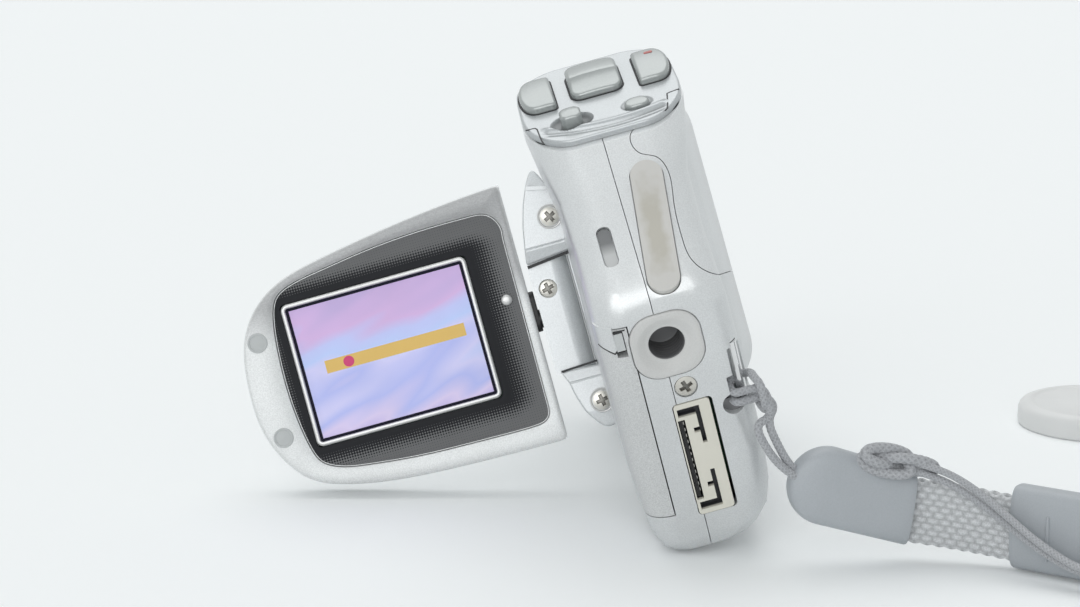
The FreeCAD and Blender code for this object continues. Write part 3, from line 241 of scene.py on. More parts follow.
def dress(finish, *names):
    """Gives CAD pieces a finish."""
    for name in names:
        piece = frame["nodes"][name]
        piece.data.materials.clear()
        piece.data.materials.append(finish)


silver_paint = moulded("silver_paint", (0.685, 0.70, 0.705), 0.32, fleck=0.06, metallic=0.4, coat=0.12,
                       Coat_Roughness=0.32)
black_plastic = moulded("black_plastic", (0.012, 0.012, 0.013), 0.4)
dress(black_plastic, "dock_connector_tongue", "tilt_shaft", "battery", "battery_terminals", "speaker",
      "lens_barrel", "flash_capacitor", "microphones")
board_green = moulded("board_green", (0.02, 0.09, 0.04), 0.4)
dress(board_green, "connector_board", "control_board", "main_board", "lcd_board", "image_sensor")
bright_steel = moulded("bright_steel", (0.60, 0.58, 0.54), 0.28, metallic=1.0)
dress(bright_steel, "hinge_pin", "joystick_gimbal", "chassis_frame", "dock_contacts")
coated_glass = moulded("coated_glass", (0.05, 0.06, 0.09), 0.05)
dress(coated_glass, "lens_front_glass", "zoom_group", "focus_group", "flash_window")


# ---- Strap cord, knotted round the bar ----
# A thin braided cord, doubled. It leaves the rubber sleeve, goes up to the chrome bar, round it in a
# lark's head, and back down beside itself. Braid: crossed ridges on a round tube, with painted shade
# between the ridges.
def line_through(points):
    """The smooth line that a quadratic NURBS spline draws with these points as its control points."""
    curve = bpy.data.curves.new("route", "CURVE")
    curve.dimensions = "3D"
    curve.resolution_u = 24
    spline = curve.splines.new("NURBS")
    spline.points.add(len(points) - 1)
    spline.points.foreach_set("co", np.c_[points, np.ones(len(points))].ravel())
    spline.order_u = 3
    spline.use_endpoint_u = True
    holder = bpy.data.objects.new("route", curve)
    bpy.context.scene.collection.objects.link(holder)
    bpy.context.view_layer.update()
    drawn = bpy.data.meshes.new_from_object(holder)
    line = np.zeros(len(drawn.vertices) * 3)
    drawn.vertices.foreach_get("co", line)
    bpy.data.objects.remove(holder)
    bpy.data.curves.remove(curve)
    bpy.data.meshes.remove(drawn)
    return line.reshape(-1, 3)


def evenly(line, step):
    """The same line with its points a step apart, and each point's distance along it."""
    lengths = np.r_[0, np.cumsum(np.linalg.norm(np.diff(line, axis=0), axis=1))]
    along = np.linspace(0, lengths[-1], max(int(lengths[-1] / step), 8) + 1)
    return np.stack([np.interp(along, lengths, column) for column in line.T], 1), along


def sides(line):
    """Two directions square to a line at each of its points, carried along without twisting."""
    ahead = unit(np.gradient(line, axis=0))
    rights = [unit(np.cross(ahead[0], (0.3, 0.2, 1.0)))]
    for direction in ahead[1:]:
        rights.append(unit(rights[-1] - direction * (rights[-1] @ direction)))
    rights = np.array(rights)
    return rights, np.cross(ahead, rights)


def skin(name, grid, finish, around=True, ends=True, ring=False, shade=None):
    """A mesh over a grid of points. around joins the last column to the first, ring the last row to the
    first, and ends closes the first and last row with a fan; smooth, with its faces pointing outwards.
    shade, the painted shade from 0 in the hollows to 1, is kept for the material."""
    rows, columns = grid.shape[:2]
    points = grid.reshape(-1, 3)
    number = np.arange(rows * columns).reshape(rows, columns)
    if around:
        number = np.c_[number, number[:, :1]]
    if ring:
        number = np.r_[number, number[:1]]
    faces = np.stack([number[:-1, :-1], number[:-1, 1:], number[1:, 1:], number[1:, :-1]], -1).reshape(-1, 4)
    faces = faces.tolist()
    if ends:
        points = np.r_[points, [grid[0].mean(0), grid[-1].mean(0)]]
        low, high = rows * columns, rows * columns + 1
        faces += np.stack([number[0, 1:], number[0, :-1], np.full(number.shape[1] - 1, low)], -1).tolist()
        faces += np.stack([number[-1, :-1], number[-1, 1:], np.full(number.shape[1] - 1, high)], -1).tolist()
    mesh = bpy.data.meshes.new(name)
    mesh.from_pydata(points, [], faces)
    if shade is not None:
        tones = np.ones(len(points))
        tones[:rows * columns] = np.broadcast_to(shade, (rows, columns)).ravel()
        mesh.attributes.new("shade", "FLOAT", "POINT").data.foreach_set("value", tones)
    outward(mesh)
    mesh.materials.append(finish)
    piece = bpy.data.objects.new(name, mesh)
    bpy.context.scene.collection.objects.link(piece)
    return piece


def outward(mesh):
    """Merges doubled points, turns every face outwards and shades the mesh smooth, sharp past 35 degrees."""
    shape = bmesh.new()
    shape.from_mesh(mesh)
    bmesh.ops.remove_doubles(shape, verts=shape.verts, dist=1e-7)
    bmesh.ops.recalc_face_normals(shape, faces=shape.faces)
    shape.to_mesh(mesh)
    shape.free()
    mesh.shade_smooth()
    mesh.set_sharp_from_angle(angle=math.radians(35))


def joined(name, pieces):
    """Several meshes as one piece."""
    with bpy.context.temp_override(active_object=pieces[0], selected_editable_objects=pieces):
        bpy.ops.object.join()
    pieces[0].name = pieces[0].data.name = name
    return pieces[0]


def angles(count):
    """Even angles round a full turn."""
    return np.linspace(0, 2 * np.pi, count + 1)[:-1]


def braided(name, line, thick, finish):
    """A braided cord: a tube whose radius rises along two families of crossing helices, five each way,
    one full turn every three diameters; painted shade darkens it between them."""
    line, along = evenly(line, thick / 10)
    right, up = sides(line)
    turn = angles(36)
    climb = 2 * np.pi * along[:, None] / (3 * thick)
    ridges = np.maximum(np.cos(5 * (turn + climb)), np.cos(5 * (turn - climb)))
    radius = (thick / 2 * (0.96 + 0.06 * ridges))[..., None]
    spokes = np.cos(turn)[None, :, None] * right[:, None] + np.sin(turn)[None, :, None] * up[:, None]
    return skin(name, line[:, None] + radius * spokes, finish, shade=np.clip(0.5 + 0.6 * ridges, 0, 1))


def shaded(name, colour, rough, darkest, **more):
    """A moulded finish with painted shade: its colour also falls to a darkest share where the mesh's shade is
    nought.
    """
    made = moulded(name, colour, rough, **more)
    tree = made.node_tree
    tone = added(tree, "Attribute")
    tone.attribute_name = "shade"
    scale = tree.nodes["Vector Math"].inputs["Scale"]
    depth = ranged(tree, tone.outputs["Fac"], 0, 1, darkest, 1)
    feed(tree, scale, depth * Tone(tree, scale.links[0].from_socket))
    return made


def woven_grey(name, colour, rough, darkest):
    """Braided or woven polyester: colour mottled thread by thread, with painted shade between the threads,
    a soft sheen and a fine bump."""
    return shaded(name, colour, rough, darkest, fleck=0.15, grain=0.5, Sheen_Weight=0.25)


def fitted(piece, slot, body, *replaced):
    """Hangs a new piece on its body and hides the CAD nodes that it replaces. slot is not used."""
    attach(piece, body)
    if replaced:
        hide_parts(*replaced)


chrome = moulded("chrome", (0.80, 0.80, 0.80), 0.09, metallic=1.0, grain=0.02)
dress(chrome, "strap_bar")
cord_grey = woven_grey("cord_grey", (0.42, 0.43, 0.45), 0.75, 0.68)
heel = BODY.point(0, 0, -4.0)
FOOT = facing(heel, unit(mounts["tripod_socket"]["axis"]))
BAR = facing(FOOT.point(10.0, -20.4, -1.6), FOOT.axes[2])
cord_thick = 1.3 * MILLIMETRE
lower_strand = np.array([(46.3, -50.1, 14.9), (43.9, -51.3, 16.7), (41.2, -52.9, 20.3), (39.3, -54.0, 24.3)])
upper_strand = np.array([(41.3, -52.9, 24.6), (42.9, -51.8, 20.9), (44.8, -50.4, 17.3), (46.6, -49.0, 15.1)])
knot_turns = [(3.0, -3.2, 4.6), (3.3, -0.2, 3.7), (2.7, 0.9, 2.1), (0.6, 0.9, 1.7), (-1.7, 0.85, 1.8),
              (-1.9, 1.2, -1.7), (1.9, 2.0, -1.9), (2.1, 2.6, 1.8), (2.6, 2.5, 3.7), (2.6, 0.0, 4.2),
              (2.6, -2.4, 3.7), (2.1, -2.6, 1.8), (1.9, -2.0, -1.9), (-1.9, -1.2, -1.7),
              (-1.7, -0.85, 1.8), (0.6, -0.9, 1.7), (2.9, -0.9, 1.8), (4.2, -2.9, 2.2)]
knot_points = BAR.point(*np.array(knot_turns).T)
cord_points = np.r_[lower_strand * MILLIMETRE, knot_points, upper_strand * MILLIMETRE]
cord_line = line_through(cord_points)
strap_cord = braided("strap_cord_braid", cord_line, cord_thick, cord_grey)
fitted(strap_cord, "strap_cord", "camera", "strap_cord", "strap_knot")


# ---- Rubber sleeves ----
# The first sleeve hides where the cord is crimped to the webbing: a soft grey moulding with a round tip.
# The second one slides on the webbing and has two raised bars on its face. Both are flattened tubes.
def flattened(half_tall, half_thick, count=64):
    """Rounded sections: half heights and half thicknesses, as superellipses of power 3.2."""
    turn = angles(count)
    c, s = np.cos(turn), np.sin(turn)
    bend = 2 / 3.2
    return (np.sign(c) * np.abs(c) ** bend)[None] * half_tall[:, None], \
        (np.sign(s) * np.abs(s) ** bend)[None] * half_thick[:, None]


def sleeve(name, place, along, half_tall, half_thick, finish, slant=0.0):
    """Sections one after another along a sleeve; the last ones turn back inwards as its mouth. A slant
    draws the mouth's upper edge back by twice that many millimetres."""
    tall, thick = flattened(half_tall, half_thick)
    slant_from = 14
    drawn = np.clip((along[:, None] - slant_from) / (along.max() - slant_from), 0, 1) ** 1.5
    back = slant * drawn * (tall / half_tall.max() + 1)
    return skin(name, place.point(along[:, None] - back, tall, thick), finish)


def lying(x, y, z, yaw, dip):
    """A drawing board on the table: x runs along a piece, y up it and z towards the viewer."""
    yaw, dip = math.radians(yaw), math.radians(dip)
    ahead = np.array([math.cos(yaw) * math.cos(dip), math.sin(yaw) * math.cos(dip), -math.sin(dip)])
    out = np.cross(ahead, (0, 0, 1))
    return Place(np.array([x, y, z]) * MILLIMETRE, ahead, np.cross(unit(out), ahead), out)


sleeve_grey = moulded("sleeve_grey", (0.41, 0.435, 0.46), 0.42, fleck=0.03, grain=0.3)
sleeve_long, tip = 21.6, 6.2
SLEEVE = lying(45.2, -49.4, 15.0, 11, 17.5)
curve_in = np.sin(np.linspace(0.02, np.pi / 2, 14))
body_run = np.linspace(tip, sleeve_long - 0.4, 10)[1:]
along = np.r_[tip - tip * np.cos(np.linspace(0.02, np.pi / 2, 14)), body_run,
              sleeve_long - 0.12, sleeve_long, sleeve_long - 0.02, sleeve_long - 0.5, sleeve_long - 3]
tall = np.r_[tip * curve_in, np.linspace(tip, 5.85, 10)[1:], 5.75, 5.5, 5.2, 5.05, 5.0]
thick = np.r_[0.3 + 2.4 * curve_in ** 0.7, np.full(9, 2.7), 2.62, 2.4, 2.1, 1.95, 1.9]
first_sleeve = sleeve("first_sleeve", SLEEVE, along, tall, thick, sleeve_grey, slant=1.1)
fitted(first_sleeve, "strap_sleeve", "camera", "strap_sleeve")
END_SLEEVE = lying(80.5, -49.4, 0.4 + 13.4 / 2, -34.5, 0)
end_long = 21.5
along = np.r_[3.0, 0.5, 0.02, 0.0, 0.15, 0.5, np.linspace(0.9, end_long - 0.9, 8), end_long - 0.5,
              end_long - 0.15, end_long, end_long - 0.02, end_long - 0.5, end_long - 3]
tall = 6.7 - np.r_[1.4, 1.3, 1.2, 0.7, 0.2, 0.04, np.zeros(8), 0.04, 0.2, 0.7, 1.2, 1.3, 1.4]
thick = 2.7 - np.r_[1.0, 0.9, 0.8, 0.45, 0.12, 0.02, np.zeros(8), 0.02, 0.12, 0.45, 0.8, 0.9, 1.0]
end_sleeve = sleeve("end_sleeve", END_SLEEVE, along, tall, thick, sleeve_grey)
fitted(end_sleeve, "strap_sleeve", "camera", "strap_end_sleeve")
for number, spot in enumerate((6.5, 12.5)):
    height, depth = flattened(np.array([3.6, 3.6, 3.4]), np.array([0.28, 0.28, 0.14]), 24)
    rise = np.array([2.5, 2.9, 3.0])[:, None]
    bar = skin(f"sleeve_bar_{number}", END_SLEEVE.point(spot + depth, height - 0.6, rise), sleeve_grey)
    fitted(bar, "strap_sleeve", "camera")


# ---- Wrist strap webbing ----
# Flat woven polyester, doubled through both sleeves and open in a loop past the second one. It stands on
# its edge. The weave is rows of long bumps, each row shifted half a bump, on both faces.
webbing_grey = woven_grey("webbing_grey", (0.66, 0.675, 0.69), 0.8, 0.42)
band_plan = np.array([(62.5, -45.6), (72.3, -47.4), (81.4, -50.8), (90.0, -56.6), (98.6, -62.6),
                      (110.0, -69.6), (125.0, -72.5), (139.0, -66.5), (144.5, -53.0), (137.0, -41.5),
                      (123.5, -39.0), (111.0, -46.5), (100.0, -58.9), (90.8, -55.1), (82.2, -49.3),
                      (72.9, -45.9), (63.0, -44.0)])
band_tall, band_thick = 9.8, 1.25
band_foot = np.interp(band_plan[:, 0], (50, 66, 81, 95, 200), (4.6, 3.4, 1.6, 0.4, 0.3))
band_line = line_through(np.c_[band_plan, band_foot + band_tall / 2] * MILLIMETRE)
across_band = np.linspace(-1, 1, 45)
weave_long, weave_tall = 1.9, 0.98


def weave(along, height):
    """How full each thread stands, 0 to 1: half-wave bumps in rows, every other row half a bump on."""
    row = np.floor(height / weave_tall)
    phase = along / weave_long + 0.5 * (row % 2)
    bump = np.abs(np.sin(np.pi * phase) * np.sin(np.pi * height / weave_tall))
    return np.maximum(bump, 0.1) ** 0.38


def band(name, line, along):
    """A woven band on edge along a line: two faces, each the half thickness plus the weave, rounded off
    to nothing at the upper and lower edges, which swell a little at every thread."""
    aside = np.cross(unit(np.gradient(line, axis=0)), (0, 0, 1))
    height = across_band * band_tall / 2
    relief = weave(along[:, None] * 1000, height[None] + 20)
    edge = np.sqrt(np.clip(1 - np.abs(across_band) ** 12, 0, 1))
    out = (((band_thick / 2 - 0.2) + 0.3 * relief) * edge + 0.05) * MILLIMETRE
    swell = 0.25 * np.abs(np.sin(np.pi * along * 1000 / weave_long))[:, None] * across_band ** 9
    near = line[:, None] + aside[:, None] * out[..., None]
    far = line[:, None] - aside[:, None] * out[..., None]
    rise = np.array([0, 0, 1]) * ((height + swell) * MILLIMETRE)[..., None]
    # The weave's hollows get painted shade.
    return skin(name, np.concatenate([near + rise, (far + rise)[:, ::-1]], 1), webbing_grey,
                shade=np.concatenate([relief, relief[:, ::-1]], 1))


line, along = evenly(band_line, 0.00018)
turning = np.argmax(line[:, 0])
back = turning + np.argmax(line[turning:, 0] < 0.086)
webbing = band("strap_webbing_weave", line[:back], along[:back])
webbing_end = band("strap_webbing_end", line[back + 2:], along[back + 2:])
fitted(webbing, "strap_webbing", "camera", "strap_webbing")
fitted(webbing_end, "strap_webbing", "camera")


# ---- Lens cap and its tether ----
# The cap lies face up on the table. A doubled thin cord is knotted through the first sleeve's corner,
# crosses the webbing and runs to the tab on the cap's rim.
tether_route = np.array([(63.4, -48.6, 16.6), (68.0, -49.4, 15.6), (73.0, -50.6, 13.1), (78.0, -53.0, 9.3),
                         (83.4, -57.8, 5.5), (88.9, -62.0, 3.1), (96.0, -67.6, 3.4), (102.6, -72.4, 7.6),
                         (108.6, -69.4, 12.9), (111.0, -57.0, 13.8), (112.6, -43.5, 12.4),
                         (117.0, -29.5, 4.9), (121.0, -14.0, 1.6), (121.6, 2.0, 1.4), (118.8, 14.5, 1.4),
                         (114.4, 24.4, 1.7)])
tether_thick = 1.15 * MILLIMETRE
tether_line, along = evenly(line_through(tether_route * MILLIMETRE), 0.001)
ahead = np.gradient(tether_line, axis=0)
level = unit(np.cross(ahead, (0, 0, 1)))
upright = unit(np.cross(level, ahead))
sway = 1.2 * np.clip(1 - along / 0.06, 0, 1) + 0.3 * np.sin(along / 0.013)
apart = 0.8 * MILLIMETRE * (np.cos(sway)[:, None] * level + np.sin(sway)[:, None] * upright)
strands = [braided(f"tether_{side}", tether_line + side * apart, tether_thick, cord_grey) for side in (-1, 1)]
tether = joined("cap_tether_braid", strands)
fitted(tether, "strap_cord", "camera", "cap_tether")
turn = np.linspace(0, 2 * np.pi, 160)
swell = 2.0 + np.cos(3 * turn)
pretzel = np.stack([swell * np.cos(2 * turn) * 2.2, swell * np.sin(2 * turn) * 0.66, np.sin(3 * turn)], 1)
KNOT = lying(61.5, -48.9, 17.1, 8, 12)
knot = braided("tether_knot", KNOT.point(*pretzel.T), 1.7 * MILLIMETRE, cord_grey)
fitted(knot, "strap_cord", "camera")


def spun(name, place, x, y, profile, finish, closed=True, columns=72):
    """A profile of radius and lift turned about a line square to the drawing board at a spot."""
    turn = angles(columns)
    radius, lift = np.array(profile, float)[:, :1], np.array(profile, float)[:, 1:]
    grid = place.point(x + radius * np.cos(turn), y + radius * np.sin(turn), lift)
    return skin(name, grid, finish, ends=closed, ring=not closed)


cap_radius = 14.4
CAP = Place(np.array([111.3, 40.2, 0.05]) * MILLIMETRE, (1, 0, 0), (0, 1, 0), (0, 0, 1))
cap_grey = moulded("cap_grey", (0.74, 0.745, 0.74), 0.35)
cap = spun("lens_cap_disc", CAP, 0, 0, [
    (10.6, 2.8), (10.6, 0.3), (10.9, 0.0), (11.5, 0.0), (11.7, 0.3), (11.7, 2.8), (13.0, 2.8), (13.0, 0.2),
    (13.3, 0.0), (14.1, 0.0), (14.35, 0.3), (cap_radius, 0.9), (14.35, 2.9), (14.1, 3.6), (13.6, 4.1),
    (12.9, 4.4), (12.2, 4.5), (11.8, 4.42), (11.5, 4.2), (11.2, 4.12), (6.0, 4.05), (0.4, 4.0)],
    cap_grey, columns=96)
fitted(cap, "cap_plastic", "camera", "lens_cap")
tab_tall, tab_wide = flattened(np.array([1.9, 2.0, 2.0, 1.9]), np.array([2.3, 2.4, 2.4, 2.3]), 48)
tab_rise = np.array([0.9, 1.1, 2.3, 2.5])[:, None]
tab = skin("lens_cap_tab", CAP.point(2.2 + tab_wide, -cap_radius - 0.9 + tab_tall, tab_rise), cap_grey)
fitted(tab, "cap_plastic", "camera")


# ---- Screen panel: frame, printed surround, bezel and display ----
# The panel's frame is moulded and painted silver, with a brushed upper band painted darker as a reflection
# and its rolled edges painted lighter as a highlight. In it lie a smoked window with a halftone print, a
# bright bezel and the display; two bumpers and a pin stop it.
def on_board(place, points):
    """Points in metres as millimetres on a drawing board: offsets from its origin along its axes."""
    return (np.asarray(points) - place.origin) / MILLIMETRE @ place.axes.T


def corners(name, place):
    """A CAD piece's corners on a drawing board."""
    vertices = frame["nodes"][name].data.vertices
    spots = np.zeros(len(vertices) * 3)
    vertices.foreach_get("co", spots)
    return on_board(place, spots.reshape(-1, 3))


def rims(name, place):
    """Outlines of a CAD piece's highest flat faces on a drawing board, the longest first. Each is a closed
    anticlockwise loop round the material, found by walking the edges that only one such face has."""
    shape = bmesh.new()
    shape.from_mesh(frame["nodes"][name].data)
    bmesh.ops.remove_doubles(shape, verts=shape.verts, dist=2e-6)
    shape.normal_update()
    facing = [face for face in shape.faces if np.dot(face.normal, place.axes[2]) > 0.999]
    lift = {face: on_board(place, face.calc_center_median())[2] for face in facing}
    top = {face for face in facing if lift[face] > max(lift.values()) - 0.05}
    onward = {corner.vert: corner.link_loop_next.vert for face in top for corner in face.loops
              if sum(other in top for other in corner.edge.link_faces) == 1}
    loops = []
    while onward:
        start, spot = onward.popitem()
        loop = [start.co[:]]
        while spot in onward:
            loop.append(spot.co[:])
            spot = onward.pop(spot)
        loops.append(on_board(place, loop)[:, :2])
    shape.free()
    return sorted(loops, key=lambda loop: -np.linalg.norm(loop - np.roll(loop, 1, 0), axis=1).sum())


def evenly_round(loop, count):
    """A closed outline with its points evenly spaced along it."""
    closed = np.r_[loop, loop[:1]]
    lengths = np.r_[0, np.cumsum(np.linalg.norm(np.diff(closed, axis=0), axis=1))]
    along = np.linspace(0, lengths[-1], count + 1)[:-1]
    return np.stack([np.interp(along, lengths, column) for column in closed.T], 1)


def by_bearing(loop, middle, count=480):
    """A closed outline sampled at even bearings round a middle point."""
    spots = evenly_round(np.asarray(loop, float), 6 * count) - middle
    bearing = np.arctan2(spots[:, 1], spots[:, 0])
    at = np.linspace(-np.pi, np.pi, count + 1)[:-1]
    return middle + np.stack([np.interp(at, bearing, spots[:, k], period=2 * np.pi) for k in (0, 1)], 1)


def rounded(wide, tall, corner, x=0.0, y=0.0, count=480):
    """An oblong with round corners: four quarter circles joined by straight runs."""
    quarter = np.linspace(0, np.pi / 2, 13)
    arcs = [np.stack([x + sx * (wide / 2 - corner) + corner * np.cos(quarter + turn),
                      y + sy * (tall / 2 - corner) + corner * np.sin(quarter + turn)], 1)
            for turn, sx, sy in ((0, 1, 1), (np.pi / 2, -1, 1), (np.pi, -1, -1), (1.5 * np.pi, 1, -1))]
    return evenly_round(np.concatenate(arcs), count)


def inward(loop, inset):
    """An anticlockwise outline moved inwards along its own normals."""
    ahead = unit(np.roll(loop, -1, 0) - np.roll(loop, 1, 0))
    return loop + inset * np.stack([-ahead[:, 1], ahead[:, 0]], 1)


def eased(loop, reach):
    """A closed outline with each point averaged with its neighbours, nearer ones counting for more."""
    weights = np.hanning(2 * reach + 3)[1:-1]
    wrapped = np.concatenate([loop[-reach:], loop, loop[:reach]])
    return np.stack([np.convolve(wrapped[:, k], weights / weights.sum(), "valid") for k in (0, 1)], 1)


def terraced(name, place, finish, *runs):
    """A ring of moulding carried from outline to outline: each run is an outline and its insets and lifts.
    The last row joins the first."""
    rows = [place.point(*inward(loop, inset).T, lift) for loop, *steps in runs for inset, lift in steps]
    return skin(name, np.stack(rows), finish, ends=False, ring=True)


def plated(name, place, loop, low, height, finish, edge=0.3, rows=26, shade=None):
    """A plate with upright walls from low and a top whose height is a number or a function of place. Its
    upper edge is a quarter round; inside it the outline shrinks evenly to its middle."""
    top = height if callable(height) else lambda x, y: height + 0 * x
    loop = np.asarray(loop, float)
    middle = loop.mean(0)
    inner = eased(inward(loop, edge), len(loop) // 60)
    quarter = np.linspace(0, np.pi / 2, 5)
    shapes = [inward(loop, edge * (1 - np.cos(turn))) for turn in quarter]
    shapes += [middle + (inner - middle) * size for size in np.linspace(1, 0.01, rows)[1:]]
    drops = [edge * (1 - np.sin(turn)) for turn in quarter] + [0] * (rows - 1)
    lifts = [low + 0 * loop[:, 0]] + [top(*spots.T) - drop for spots, drop in zip(shapes, drops)]
    shapes = [loop] + shapes
    grid = np.stack([place.point(*spots.T, lift) for spots, lift in zip(shapes, lifts)])
    tone = None if shade is None else np.stack([shade(*spots.T) for spots in shapes])
    return skin(name, grid, finish, shade=tone)


def board_tones(tree, place):
    """A drawing board's x, y and z in millimetres: the coordinates turned onto its axes."""
    turn = Matrix(place.axes.tolist())
    board = added(tree, "Mapping", Vector=added(tree, "TexCoord").outputs["Object"], Scale=(1000, 1000, 1000),
                  Rotation=turn.to_euler(), Location=-1000 * (turn @ Vector(place.origin)))
    parts = added(tree, "SeparateXYZ", Vector=board.outputs["Vector"])
    return [Tone(tree, socket) for socket in parts.outputs]


def blended(fac, low, high):
    """A colour that goes from one to another with a tone; each end is a colour or a socket."""
    mix = added(fac.tree, "Mix")
    mix.data_type = "RGBA"
    feed(fac.tree, mix.inputs["Factor"], fac)
    for socket, value in ((mix.inputs[6], low), (mix.inputs[7], high)):
        feed(fac.tree, socket, (*value, 1) if isinstance(value, tuple) else value)
    return mix.outputs[2]


def painted(finish, colour):
    """Gives a moulded finish a colour that its material works out."""
    feed(finish.node_tree, finish.node_tree.nodes["Vector Math"].inputs[0], colour)


PANEL = Place(BODY.point(0, bend_back, 0), ACROSS, UPWARD, -FORWARD)
screen_middle = on_board(PANEL, np.mean(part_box("lcd_display"), axis=0))[:2]
frame_outline = eased(by_bearing(rims("lcd_front_frame", PANEL)[0], screen_middle), 2)
window_outline = eased(by_bearing(rims("lcd_print_panel", PANEL)[0], screen_middle), 2)
frame_silver = moulded("frame_silver", (0.62, 0.64, 0.65), 0.38, fleck=0.09, metallic=0.2, coat=0.1)
tree = frame_silver.node_tree
x, y, z = board_tones(tree, PANEL)
# Painted reflection and highlight: the upper band is darker, with brushed streaks, and everything lower than 3 mm
# over the board (the rolled edges and the window's edge line) is lighter as a painted highlight.
brushed = added(tree, "CombineXYZ", X=x * 1.2, Y=y * 4.0).outputs["Vector"]
painted_dark_band = blended(noise(tree, brushed, 1.0), (0.31, 0.315, 0.32), (0.42, 0.425, 0.43))
face_tone = blended(((x * 0.11 + y + 1.5) * 0.16).held(), (0.68, 0.695, 0.695), painted_dark_band)
painted(frame_silver, blended(((3.2 - z) * 5.0).held(), face_tone, (0.76, 0.77, 0.77)))
front_frame = terraced(
    "lcd_frame_rolled", PANEL, frame_silver,
    (frame_outline, (0, 1.05), (0, 2.7), (0.06, 2.9), (0.2, 3.06), (0.38, 3.15), (0.55, 3.2)),
    (window_outline, (-0.3, 3.2), (-0.17, 3.13), (-0.12, 2.95), (-0.12, 1.6)))
fitted(front_frame, "lcd_silver", "screen_panel", "lcd_front_frame")

halftone = moulded("halftone_window", (0.1, 0.1, 0.1), 0.4, grain=0.05, Specular_IOR_Level=0.15)
tree = halftone.node_tree
x, y, z = board_tones(tree, PANEL)
reach = []
for spot, middle, half, above, below in ((x, screen_middle[0], 16.6, 0.55, 1.0),
                                         (y, screen_middle[1], 12.8, 1.0, 0.8)):
    over = worked(tree, "MAXIMUM", spot - float(middle + half), 0.0)
    under = worked(tree, "MAXIMUM", float(middle - half) - spot, 0.0)
    reach.append(over * above + under * below)
away = worked(tree, "SQRT", reach[0] * reach[0] + reach[1] * reach[1])
fade = ((away - 0.35) / 2.9).held()
dot_turns = 6.9
dots = worked(tree, "SINE", (x + y) * dot_turns) * worked(tree, "SINE", (x - y) * dot_turns) * 0.5 + 0.5
printed = ((fade + dots * 0.85 - 0.9) * 4.0).held()
painted(halftone, blended(printed, (0.010, 0.011, 0.014), (0.15, 0.152, 0.155)))
dress(halftone, "lcd_print_panel")

bright_trim = moulded("bright_trim", (0.58, 0.58, 0.575), 0.3, metallic=0.6, coat=0.1, grain=0.05)
# The window's edge line takes the frame's painted highlight colour.
edge_line = terraced("window_edge_line", PANEL, frame_silver,
                     (window_outline, (0.0, 2.55), (0.02, 2.64), (0.12, 2.64), (0.14, 2.55)))
fitted(edge_line, "lcd_silver", "screen_panel")
bezel_outline = rounded(32.7, 25.0, 1.2, *screen_middle)
bezel = terraced("screen_bezel_ring", PANEL, bright_trim, (
    bezel_outline, (0, 1.5), (0, 2.8), (0.07, 3.02), (0.22, 3.14), (0.45, 3.17), (0.65, 3.12), (0.76, 2.98),
    (0.8, 2.55)))
fitted(bezel, "bezel_black", "screen_panel", "lcd_screen_bezel")
gasket_outline = rounded(31.3, 23.6, 0.5, *screen_middle)
gloss_black = moulded("gloss_black", (0.008, 0.008, 0.02), 0.5, Specular_IOR_Level=0.1)
gasket = terraced("screen_gasket", PANEL, gloss_black,
                  (gasket_outline, (0, 2.45), (0, 2.6), (0.55, 2.6), (0.6, 2.45)))
fitted(gasket, "bezel_black", "screen_panel")

picture = moulded("lit_picture", (0.5, 0.5, 0.8), 0.3, grain=0.0, Emission_Strength=0.17)
tree = picture.node_tree
x, y, z = board_tones(tree, PANEL)
slanted = added(tree, "CombineXYZ", X=x * 0.035 + y * 0.01, Y=x * -0.05 + y * 0.13).outputs["Vector"]
ramp = added(tree, "ValToRGB", Fac=y * 0.036 + 0.52 + (noise(tree, slanted, 1.0, 1.5) - 0.5))
stops = ramp.color_ramp.elements
stops[0].position, stops[0].color = 0.0, (0.44, 0.38, 0.68, 1)
stops[1].position, stops[1].color = 1.0, (0.46, 0.35, 0.62, 1)
for spot, colour in ((0.14, (0.60, 0.52, 0.76)), (0.27, (0.38, 0.42, 0.76)), (0.40, (0.54, 0.53, 0.80)),
                     (0.52, (0.42, 0.52, 0.82)), (0.66, (0.45, 0.49, 0.80)), (0.80, (0.56, 0.38, 0.66))):
    stop = stops.new(spot)
    stop.color = (*colour, 1)


def within(tone, low, high):
    """One between two values of a tone, nought outside, with a soft step."""
    return ((tone - low) * 12.0).held() * ((high - tone) * 12.0).held()


stripe = within(x, -54.6, -29.9) * within(y, -1.9, 0.4)
aside, over = x + 50.5, y + 0.75
disc = ((0.98 - worked(tree, "SQRT", aside * aside + over * over)) * 12.0).held()
shown = blended(disc, blended(stripe, ramp.outputs["Color"], (0.60, 0.39, 0.085)), (0.50, 0.008, 0.12))
painted(picture, shown)
fed(tree, tree.nodes["Principled BSDF"], Emission_Color=shown)
dress(picture, "lcd_display")

bumper_grey = moulded("bumper_grey", (0.50, 0.52, 0.52), 0.5)
dress(bumper_grey, "side_feet")
bumpers = []
for side, y in (("upper", 6.3), ("lower", -10.4)):
    bumpers.append(spun(f"bumper_{side}", PANEL, -64.62, y, [
        (1.72, 2.6), (1.72, 3.2), (1.66, 3.32), (1.52, 3.38), (1.38, 3.34), (1.28, 3.24), (1.1, 3.26),
        (0.6, 3.36), (0.02, 3.38)], bumper_grey))
fitted(joined("bumpers_dished", bumpers), "foot_rubber", "screen_panel", "lcd_bumpers")
pin = spun("stop_pin", PANEL, -21.8, 2.1, [(0.95, 1.7), (0.95, 2.9), (0.88, 3.06), (0.7, 3.18), (0.4, 3.25),
                                           (0.02, 3.27)], bright_trim)
fitted(pin, "black_plastic", "screen_panel", "lcd_pin")


